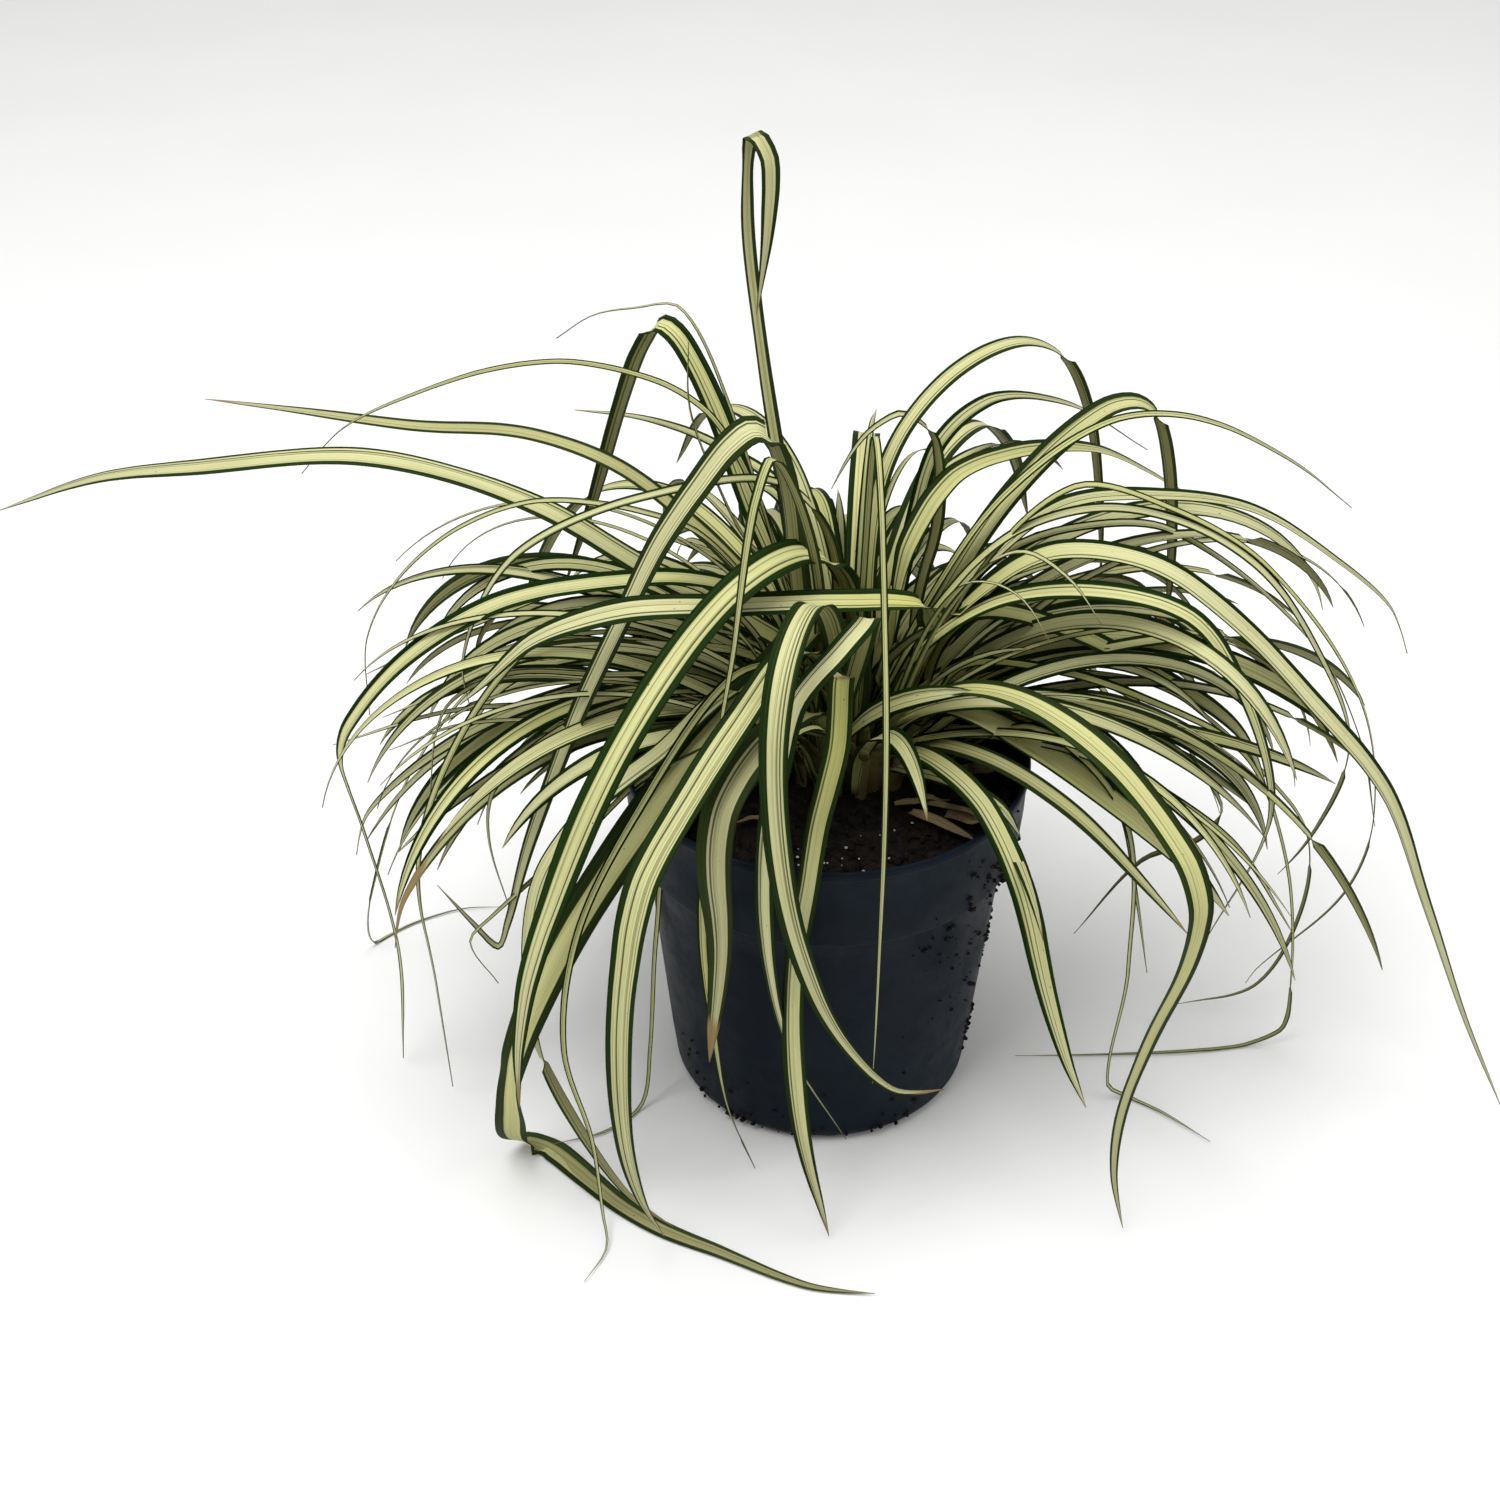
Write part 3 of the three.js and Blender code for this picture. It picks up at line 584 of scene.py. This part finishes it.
def grow_main_leaves():
    for order, node in enumerate(sorted(LEAF_NODES)):
        rng = random.Random(100 + order)
        centres, halves, faces = with_root(*leaf_sections(node))
        width = 2 * np.linalg.norm(halves, axis=1).max()
        dull, dry = WORN_LEAVES.get(node, (None, None))
        bundle = Bundle()
        style = leaf_style(rng, width, dull, dry)
        style["wider"] = WIDER_LEAVES.get(node, USUAL_WIDER)
        style["taper"] = TAPERS.get(node, USUAL_TAPER)
        if node in CREASED_LEAVES:
            coordinate, stalk = CREASED_LEAVES[node]
            crease = int(np.argmax(centres[:, coordinate]))
            first, rest = slice(0, crease + 1), slice(crease, None)
            bow = np.sin(np.linspace(0, math.pi, crease + 1))[:, None]
            centres[first] += bow * STALK_BOW
            add_blade(bundle, centres[first], halves[first], faces[first],
                      dict(style, to_crease=True, widest=width / 2 * stalk), rng)
            add_blade(bundle, centres[rest], halves[rest], faces[rest], dict(style, from_crease=True), rng)
        else:
            add_blade(bundle, centres, halves, faces, style, rng)
        blade = bundle.piece(node.replace("leaf_", "blade_"), [LEAF_UPPER, LEAF_UNDER])
        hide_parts(node)


# ---- pot ------------------------------------------------------------------------------------
COLLAR_HEIGHT = 30 * MM
COLLAR_FOOT = POT_HEIGHT - COLLAR_HEIGHT
FOOT_RADIUS = 49.8 * MM
UNDER_COLLAR = 58.9 * MM    # radius of the wall where the collar starts
COLLAR_RADIUS = 62.9 * MM   # radius of the collar at its foot
RIM_ROLL = 0.5 * MM         # how far the rim stands out from the collar
POT_WALL = 1.3 * MM
POT_FLOOR = 1.6 * MM
POT_SEGMENTS = 180
MOULD_SEAM = 0.22 * MM      # how far the seam stands out
SEAM_AZIMUTH = 276          # degrees
SEAM_FROM = 45 * MM         # radius from which it shows


def lathe(bundle, profile, segments):
    """A closed turned shape with the faint seam of its mould down the front."""
    vertices, quads = [], []
    seam = round(segments * SEAM_AZIMUTH / 360)
    for radius, height in profile:
        for k in range(segments):
            angle = 2 * math.pi * k / segments
            outward = radius + (MOULD_SEAM if k == seam and radius > SEAM_FROM else 0.0)
            vertices.append(on_circle(outward, angle, height))
    for i in range(len(profile) - 1):
        for k in range(segments):
            a, b = i * segments + k, i * segments + (k + 1) % segments
            quads.append((a, b, b + segments, a + segments))
    quads.append(tuple(range(segments))[::-1])
    last = (len(profile) - 1) * segments
    quads.append(tuple(last + k for k in range(segments)))
    bundle.add(vertices, quads)


def make_pot():
    """The pot's shell: its outside from the middle of the floor up to the rim, then its inside."""
    foot, under_collar, collar, wall = FOOT_RADIUS, UNDER_COLLAR, COLLAR_RADIUS, POT_WALL
    centre, curve_steps, wall_steps = 2 * MM, 6, 8
    profile = [(centre, 0.0), (foot - 8 * MM, 0.0)]
    for k in range(curve_steps + 1):
        turn = math.pi / 2 * k / curve_steps
        profile.append((foot - 6 * MM + 6.3 * MM * math.sin(turn), 5.5 * MM * (1 - math.cos(turn))))
    for k in range(1, wall_steps + 1):
        height = 6 * MM + (COLLAR_FOOT - 8 * MM) * k / wall_steps
        profile.append((foot + (under_collar - foot) * height / COLLAR_FOOT, height))
    profile += [
        (under_collar + 0.7 * MM, COLLAR_FOOT - 2.0 * MM), (collar - 1.6 * MM, COLLAR_FOOT - 0.6 * MM),
        (collar - 0.4 * MM, COLLAR_FOOT + 0.2 * MM), (collar, COLLAR_FOOT + 1.4 * MM),
        (collar + 0.5 * (RIM_RADIUS - collar), COLLAR_FOOT + 15 * MM),
        (RIM_RADIUS - 0.75 * MM, POT_HEIGHT - 3.6 * MM), (RIM_RADIUS - 0.1 * MM, POT_HEIGHT - 3.0 * MM),
        (RIM_RADIUS, POT_HEIGHT - 2.4 * MM), (RIM_RADIUS, POT_HEIGHT - 0.8 * MM),
        (RIM_RADIUS - 0.3 * MM, POT_HEIGHT - 0.2 * MM), (RIM_RADIUS - 0.8 * MM, POT_HEIGHT),
        (RIM_RADIUS - 1.3 * MM, POT_HEIGHT - 0.2 * MM), (RIM_RADIUS - wall - 0.4 * MM, POT_HEIGHT - 1.0 * MM),
        (collar - wall, COLLAR_FOOT + 1.6 * MM), (under_collar - wall, COLLAR_FOOT - 1 * MM),
        (foot - wall, 5 * MM), (foot - 6 * MM, POT_FLOOR), (centre, POT_FLOOR)]
    bundle = Bundle()
    lathe(bundle, profile, POT_SEGMENTS)
    pot = bundle.piece("pot_shell", [POT_PLASTIC])
    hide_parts("pot")
    bevel = pot.modifiers.new("soft_edges", "BEVEL")
    bevel.width = 0.15 * MM
    bevel.limit_method = "ANGLE"


# ---- compost --------------------------------------------------------------------------------
SOIL_FOOT_RADIUS, SOIL_FOOT = 54 * MM, 90 * MM   # where the compost that shows ends, in the pot
SOIL_RIPPLES = ((0.9, 160, 1), (0.8, 420, 2))    # height in mm, waves per metre, seed
SOIL_GRIT = 0.55                                 # mm
SOIL_EDGE_DROP = 3.2                             # mm that the compost falls away at the wall
SOIL_SINK = 1.2 * MM                             # its mean level below the plain solid's top


def ripple(x, y, scale, seed):
    """Smooth pseudo-random height from a few crossed waves."""
    total = 0.0
    for k in range(5):
        turn = 1.3 * k + seed
        total += math.sin((x * math.cos(turn) + y * math.sin(turn)) * scale * (1 + 0.37 * k) + seed * 7 + k)
    return total / 5


def make_soil():
    rng = random.Random(7)
    bundle = Bundle()
    rings, segments = 70, 180
    vertices, faces = [(0.0, 0.0, SOIL_TOP)], []
    for i in range(1, rings + 1):
        for k in range(segments):
            angle = 2 * math.pi * k / segments
            radius = SOIL_RADIUS * i / rings
            x, y = radius * math.cos(angle), radius * math.sin(angle)
            height = sum(rise * ripple(x, y, scale, seed) for rise, scale, seed in SOIL_RIPPLES)
            height += SOIL_GRIT * rng.uniform(-1, 1)
            edge_drop = SOIL_EDGE_DROP * (i / rings) ** 6
            vertices.append((x, y, SOIL_TOP - SOIL_SINK + (height - edge_drop) * MM))
    for k in range(segments):
        faces.append((0, 1 + k, 1 + (k + 1) % segments))
    for i in range(rings - 1):
        for k in range(segments):
            a, b = 1 + i * segments + k, 1 + i * segments + (k + 1) % segments
            faces.append((a, a + segments, b + segments, b))
    top_ring = 1 + (rings - 1) * segments
    start = len(vertices)
    for k in range(segments):
        angle = 2 * math.pi * k / segments
        vertices.append(on_circle(SOIL_FOOT_RADIUS, angle, SOIL_FOOT))
    for k in range(segments):
        a, b = top_ring + k, top_ring + (k + 1) % segments
        faces.append((a, start + k, start + (k + 1) % segments, b))
    faces.append(tuple(start + k for k in range(segments))[::-1])
    bundle.add(vertices, faces)
    soil = bundle.piece("compost", [COMPOST])
    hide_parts("soil")


CORNER_REACH = 1.9          # of the icosahedron below, from its middle


def icosahedron():
    """Corners and outward faces of the solid that each crumb starts from."""
    golden = (1 + 5 ** 0.5) / 2
    corners = [np.roll((side, golden * half, 0.0), shift)
               for shift in range(3) for half in (1, -1) for side in (-1, 1)]
    edge = 2.0
    faces = []
    for trio in combinations(range(len(corners)), 3):
        a, b, c = (corners[i] for i in trio)
        if max(np.linalg.norm(a - b), np.linalg.norm(b - c), np.linalg.norm(c - a)) < edge + 0.1:
            faces.append(trio if np.dot(np.cross(a, b), c) > 0 else trio[::-1])
    return corners, faces


CRUMB_CORNERS, CRUMB_FACES = icosahedron()


def pebble(bundle, centre, size, rng):
    """One small irregular lump of about the given radius."""
    stretch = np.array([rng.uniform(0.7, 1.4), rng.uniform(0.7, 1.4), rng.uniform(0.6, 1.0)])
    vertices = [np.array(centre) + corner / CORNER_REACH * size * stretch * rng.uniform(0.75, 1.25)
                for corner in CRUMB_CORNERS]
    bundle.add(vertices, CRUMB_FACES)


LOOSE_CRUMBS = 1500
GRAINS, FRONT_GRAINS = 46, 28   # perlite: all the grains, and those of them in front of the crown


def make_crumbs():
    rng = random.Random(21)
    crumbs, perlite = Bundle(), Bundle()
    for _ in range(LOOSE_CRUMBS):
        angle, radius = rng.uniform(0, 2 * math.pi), SOIL_RADIUS * math.sqrt(rng.random()) * 0.97
        size = rng.choice([0.5, 0.7, 0.9, 1.3, 1.8]) * MM
        pebble(crumbs, on_circle(radius, angle, SOIL_TOP - 1.0 * MM), size, rng)
    for k in range(GRAINS):
        angle, radius = rng.uniform(0, 2 * math.pi), SOIL_RADIUS * math.sqrt(rng.random()) * 0.9
        if k < FRONT_GRAINS:
            angle, radius = math.radians(rng.gauss(-88, 14)), rng.uniform(30, 56) * MM
        pebble(perlite, on_circle(radius, angle, SOIL_TOP - 0.4 * MM), rng.uniform(0.25, 0.6) * MM, rng)
    loose = crumbs.piece("compost_crumbs", [COMPOST], smooth=False)
    white = perlite.piece("perlite_grains", [PERLITE])


def wall_radius(height):
    """Radius of the outside of the pot at a height."""
    if height > COLLAR_FOOT:
        widening = RIM_RADIUS - RIM_ROLL - COLLAR_RADIUS
        return COLLAR_RADIUS + widening * (height - COLLAR_FOOT) / COLLAR_HEIGHT
    return FOOT_RADIUS + (UNDER_COLLAR - FOOT_RADIUS) * height / COLLAR_FOOT


# Compost stuck to the outside of the pot: (azimuth, height in mm, spread in degrees and mm, count).
STUCK_PATCHES = [
    (-30, 106, 12, 60), (-18, 92, 12, 50), (-42, 112, 6, 12), (-8, 60, 12, 24), (-14, 22, 9, 30),
    (-32, 62, 22, 34), (-48, 84, 14, 22), (-60, 5, 16, 16), (-120, 5, 16, 30), (-95, 9, 14, 16),
    (-145, 9, 12, 14), (-95, 104, 1, 2), (-150, 100, 14, 10), (40, 60, 50, 60), (140, 60, 50, 60)]


def make_stuck_crumbs():
    rng = random.Random(33)
    bundle = Bundle()
    for azimuth, height, spread, count in STUCK_PATCHES:
        for _ in range(count):
            angle = math.radians(azimuth + rng.gauss(0, spread * 0.5))
            level = min(max(height + rng.gauss(0, spread * 0.55), 3.0), 120.0) * MM
            size = rng.choice([0.25, 0.35, 0.5, 0.7, 1.0]) * MM
            pebble(bundle, on_circle(wall_radius(level), angle, level), size, rng)
    stuck = bundle.piece("stuck_crumbs", [COMPOST], smooth=False)


# ---- crown ----------------------------------------------------------------------------------
OVER_RIM = 1.5 * MM         # least height of a leaf over the rim
OVER_GROUND = 1.0 * MM
DROPPED = 90 * MM           # a leaf lower than this hangs outside the pot


def grow_curve(root, azimuth, length, rise, fall, power, drift, step=5 * MM):
    """Midrib of a leaf that leaves its root at the elevation rise and bends over to fall."""
    heading, at = math.radians(azimuth), np.array(root, dtype=float)
    points = [at.copy()]
    steps = max(int(length / step), 6)
    for k in range(steps):
        share = (k + 0.5) / steps
        elevation = math.radians(rise + (fall - rise) * share ** power)
        turn = heading + math.radians(drift) * share
        at = at + length / steps * np.array([math.cos(elevation) * math.cos(turn),
                                             math.cos(elevation) * math.sin(turn), math.sin(elevation)])
        over_pot = math.hypot(at[0], at[1]) < RIM_RADIUS + 2 * MM and at[2] > DROPPED
        at[2] = max(at[2], POT_HEIGHT + OVER_RIM if over_pot else OVER_GROUND)
        points.append(at.copy())
    return np.array(points)


def curve_sections(points, width, roll=0.0):
    """Half-width vectors and face directions for a midrib whose blade lies level across its run."""
    count = len(points)
    gaps = np.linalg.norm(np.diff(points, axis=0), axis=1)
    travelled = np.concatenate([[0], np.cumsum(gaps)])
    shares = travelled / travelled[-1]
    halves, faces = [], []
    across = None
    for i in range(count):
        along = unit(points[min(i + 1, count - 1)] - points[max(i - 1, 0)])
        level = np.cross(UP, along)
        slope = np.linalg.norm(level)
        if across is None:
            across = unit(level)
        if np.dot(level, across) < 0:
            level = -level
        across = across * (1 - slope) + level
        across = unit(across - along * np.dot(across, along))
        turn = math.radians(roll) * shares[i]
        side = across * math.cos(turn) + np.cross(along, across) * math.sin(turn)
        halves.append(side * 0.5 * width)
        faces.append(np.cross(along, side))
    return np.array(halves), np.array(faces)


GOLDEN_TURN = 2.39996       # radians from one sheath to the next round the crown
SHEATHS = 60


def make_crown():
    rng = random.Random(5)
    bundle = Bundle()
    for k in range(SHEATHS):
        distance = CROWN_RADIUS * math.sqrt((k + 0.5) / SHEATHS) * 0.86
        azimuth = math.degrees(k * GOLDEN_TURN)
        root = on_circle(distance, math.radians(azimuth), SOIL_TOP - ROOT_DEPTH, CROWN)
        rise = 86 - 30 * distance / CROWN_RADIUS
        height = (34 - 14 * distance / CROWN_RADIUS) * rng.uniform(0.7, 1.25) * MM
        points = grow_curve(root, azimuth, height, rise, rise - 25, 1.0, rng.uniform(-25, 25), step=3 * MM)
        halves, faces = curve_sections(points, rng.uniform(5, 8) * MM)
        style = dict(leaf_style(rng, 8 * MM), taper=2, facing=0.0)
        add_blade(bundle, points, halves, faces, style, rng, step=3 * MM)
    sheaths = bundle.piece("crown_sheaths", [SHEATH, SHEATH])
    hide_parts("crown")


# ---- undergrowth: the many leaves between the named ones ------------------------------------
# Sectors of the plant: (name, azimuth from, azimuth to, count, rise, fall, length, width), in
# degrees and millimetres; each leaf draws its own values between the two given.
SECTORS = [
    ("left_mid", 150, 206, 18, (44, 60), (-80, -45), (130, 195), (4.5, 9)),
    ("left_low", 145, 212, 18, (20, 44), (-78, -30), (105, 175), (4, 8)),
    ("right_mid", -26, 42, 20, (46, 66), (-80, -45), (135, 200), (4.5, 9)),
    ("right_low", -36, 45, 19, (20, 44), (-78, -30), (100, 170), (4, 8)),
    ("back_mid", 48, 140, 14, (50, 66), (-82, -45), (125, 180), (5, 9)),
    ("back_low", 48, 140, 14, (26, 46), (-80, -45), (105, 155), (4.5, 8)),
    ("centre", 0, 360, 12, (62, 80), (-40, 10), (60, 95), (5, 8)),
]
THREAD_CHANCE, THREAD_SHARE = 0.25, 0.4   # how many of them are threads, and how narrow those are


def grow_undergrowth():
    for order, (name, low, high, count, rises, falls, lengths, widths) in enumerate(SECTORS):
        rng = random.Random(500 + order)
        bundle = Bundle()
        for k in range(count):
            azimuth = low + (high - low) * (k + rng.random()) / count
            distance = CROWN_RADIUS * rng.uniform(0.25, 0.9)
            spread = math.radians(azimuth + rng.uniform(-60, 60))
            root = on_circle(distance, spread, SOIL_TOP + 2 * MM, CROWN)
            width = rng.uniform(*widths) * MM
            if rng.random() < THREAD_CHANCE:
                width *= THREAD_SHARE
            points = grow_curve(root, azimuth, rng.uniform(*lengths) * MM, rng.uniform(*rises),
                                rng.uniform(*falls), rng.uniform(0.7, 1.7), rng.uniform(-42, 42))
            halves, faces = curve_sections(points, width, roll=rng.uniform(-70, 70))
            add_blade(bundle, points, halves, faces, leaf_style(rng, width), rng, step=4.5 * MM,
                      across=PLAIN_ACROSS)
        made = bundle.piece("undergrowth_" + name, [LEAF_UPPER, LEAF_UNDER])


# Slender leaves with routes of their own: azimuth, width, then (outwards, upwards, sideways) points
# in millimetres from the crown's axis.
SLENDER_LEAVES = [
    (165, 2.0, [(6, 115, 0), (22, 170, 0), (42, 235, 0), (56, 262, 0), (71, 260, 0), (84, 256, 0),
                (96, 247, 0)]),
    (190, 3.2, [(5, 115, 0), (14, 150, 0), (22, 182, 0), (34, 195, 0), (44, 218, 0), (51, 241, 0),
                (51, 262, 0)]),
    (-20, 4.0, [(18, 115, 0), (40, 142, 0), (60, 143, 0), (77, 134, 0), (90, 116, 0), (98, 85, 0),
                (105, 54, 0)]),
    (-8, 3.6, [(20, 115, 0), (60, 136, 0), (100, 130, 0), (120, 108, 0), (114, 94, 0), (97, 83, 0),
               (78, 49, 0)]),
    (-2, 3.0, [(10, 115, 0), (36, 180, 0), (64, 214, 0), (94, 208, 0), (125, 189, 0), (159, 144, 0),
               (171, 98, 0), (166, 65, 0), (142, 31, 0), (139, 24, 0)]),
    (12, 4.0, [(14, 115, 0), (30, 160, 0), (44, 182, 0), (68, 191, 0), (101, 187, 0), (153, 142, 0),
               (178, 99, 0), (190, 60, 0)]),
    (-40, 3.6, [(10, 115, 0), (30, 170, 0), (48, 202, 0), (62, 213, 0), (78, 210, 0), (90, 200, 0)]),
    (-50, 2.4, [(10, 115, 0), (30, 170, 0), (46, 198, 0), (60, 206, 0), (73, 206, 0), (84, 198, 0)]),
    (192, 3.0, [(18, 115, 0), (41, 133, 0), (70, 140, 0), (91, 138, 0), (125, 139, 0), (148, 132, 0)]),
    (182, 4.4, [(8, 115, 0), (27, 147, 0), (48, 154, 0), (74, 149, 0), (109, 146, 0), (152, 127, 0)]),
    (196, 3.0, [(12, 115, 0), (46, 148, 0), (84, 157, 0), (111, 161, 0), (130, 151, 0), (138, 114, 0)]),
    (203, 3.0, [(18, 115, 0), (46, 146, 0), (68, 152, 0), (96, 147, 0), (118, 131, 0), (122, 112, 0),
                (117, 80, 0)]),
    (205, 2.6, [(22, 115, 0), (46, 126, 0), (70, 124, 0), (91, 108, 0), (124, 84, 0), (132, 76, 0),
                (124, 56, 0)]),
    (228, 3.4, [(10, 115, 0), (28, 158, 0), (56, 168, 0), (97, 137, 0), (120, 108, 0), (128, 68, 0),
                (124, 30, 6), (128, 6, 14), (134, 1.5, 22), (148, 1, 27)]),
    (214, 2.8, [(24, 115, 0), (44, 130, 0), (66, 116, 0), (74, 70, 0), (78, 20, 0), (84, 2, 4),
                (100, 1, 8), (118, 1, 4)]),
    (172, 2.6, [(24, 115, 0), (60, 150, 0), (110, 140, 0), (150, 90, 0), (172, 30, 0), (176, 2, -6),
                (166, 1, -20), (150, 1, -32), (134, 1, -36)]),
    (-24, 3.4, [(24, 115, 0), (60, 142, 0), (92, 120, 0), (100, 60, 0), (98, 8, 0), (106, 1, 4),
                (118, 1, 2), (136, 1, -4)]),
    (110, 6.0, [(8, 115, 0), (30, 150, 0), (60, 170, 0), (100, 160, 0), (130, 125, 0)]),
    (100, 6.5, [(6, 115, 0), (26, 150, 0), (60, 172, 0), (110, 150, 0), (140, 110, 0)]),
    (84, 4.5, [(4, 115, 0), (12, 160, 0), (20, 196, 0), (34, 214, 0), (52, 212, 0)]),
]


def grow_slender_leaves():
    rng = random.Random(77)
    bundle = Bundle()
    for azimuth, width, route in SLENDER_LEAVES:
        angle = math.radians(azimuth)
        outward = np.array([math.cos(angle), math.sin(angle), 0.0])
        sideways = np.array([-math.sin(angle), math.cos(angle), 0.0])
        base = np.array([CROWN[0], CROWN[1], 0.0])
        points = np.array([base + (outward * out + sideways * side + UP * up) * MM
                           for out, up, side in route])
        points[0, 2] = SOIL_TOP - ROOT_DEPTH
        halves, faces = curve_sections(points, width * MM)
        add_blade(bundle, points, halves, faces, dict(leaf_style(rng, width * MM), taper=3), rng,
                  step=3.5 * MM, across=PLAIN_ACROSS)
    made = bundle.piece("slender_leaves", [LEAF_UPPER, LEAF_UNDER])


# Dead bits of leaf on the compost, most in front of the crown: (x, y, heading, length), in mm and
# degrees.
LITTER = [(32, -14, -28, 26), (38, -20, -20, 22), (27, -19, -35, 24), (44, -12, -42, 20),
          (22, -15, 10, 18), (-14, -22, 200, 16), (40, 2, 15, 20)]


def make_litter():
    rng = random.Random(13)
    bundle = Bundle()
    for x, y, heading, length in LITTER:
        start = np.array([x * MM, y * MM, SOIL_TOP + 1.6 * MM])
        turn = math.radians(heading)
        along = np.array([math.cos(turn), math.sin(turn), 0.0])
        points = np.array([start + along * length * MM * t
                           + UP * (3 * MM * math.sin(math.pi * t) * rng.random())
                           for t in np.linspace(0, 1, 6)])
        halves, faces = curve_sections(points, rng.uniform(3, 6) * MM, roll=rng.uniform(-40, 40))
        add_blade(bundle, points, halves, faces, dict(leaf_style(rng, 5 * MM), facing=0.0, taper=3), rng)
    litter = bundle.piece("dead_leaf_bits", [DEAD_LEAF, DEAD_LEAF])


# ---- stage ----------------------------------------------------------------------------------
FLOOR_SIZE = 12
WORLD_STRENGTH = 0.46
LIT_POINT = np.array([0.0, 0.0, 0.12])
# Area lights, all turned to LIT_POINT: (name, place, size, watts).
LIGHTS = [("key", (-0.6, -0.5, 1.6), 1.0, 19.0),
          ("fill", (1.2, -0.4, 1.3), 1.4, 7.0),
          ("top", (0.1, 0.4, 1.9), 1.4, 15.0)]
# The photograph's camera, found from the pot's rim, base and sides.
CAMERA_PLACE = (0.0, -0.579, 0.528)
CAMERA_DOWN, CAMERA_TURN = 34.9, 2.41     # degrees below level, and to the left of straight ahead
LENS, SENSOR = 53.06, 36.0


def make_stage():
    bpy.ops.mesh.primitive_plane_add(size=FLOOR_SIZE)
    floor = bpy.context.object
    floor.name = "floor"
    floor.data.materials.append(floor_material())

    world = bpy.data.worlds.new("studio")
    bpy.context.scene.world = world
    world.use_nodes = True
    background = world.node_tree.nodes["Background"]
    background.inputs["Color"].default_value = (1.0, 1.0, 1.0, 1.0)
    background.inputs["Strength"].default_value = WORLD_STRENGTH

    for name, place, size, power in LIGHTS:
        light = bpy.data.lights.new(name, "AREA")
        light.size = size
        light.energy = power
        lamp = bpy.data.objects.new(name, light)
        bpy.context.scene.collection.objects.link(lamp)
        lamp.location = place
        aim = LIT_POINT - np.array(place)
        lamp.rotation_euler = (math.atan2(math.hypot(aim[0], aim[1]), -aim[2]), 0,
                               math.atan2(aim[1], aim[0]) - math.pi / 2)


def make_camera():
    camera = bpy.data.cameras.new("camera")
    camera.sensor_width = SENSOR
    camera.lens = LENS
    stand = bpy.data.objects.new("camera", camera)
    bpy.context.scene.collection.objects.link(stand)
    stand.location = CAMERA_PLACE
    stand.rotation_euler = (math.radians(90 - CAMERA_DOWN), 0, math.radians(CAMERA_TURN))
    bpy.context.scene.camera = stand
    bpy.context.scene.view_settings.view_transform = "Standard"


make_camera()
make_stage()
make_pot()
make_soil()
make_crumbs()
make_stuck_crumbs()
make_crown()
grow_main_leaves()
grow_undergrowth()
grow_slender_leaves()
make_litter()
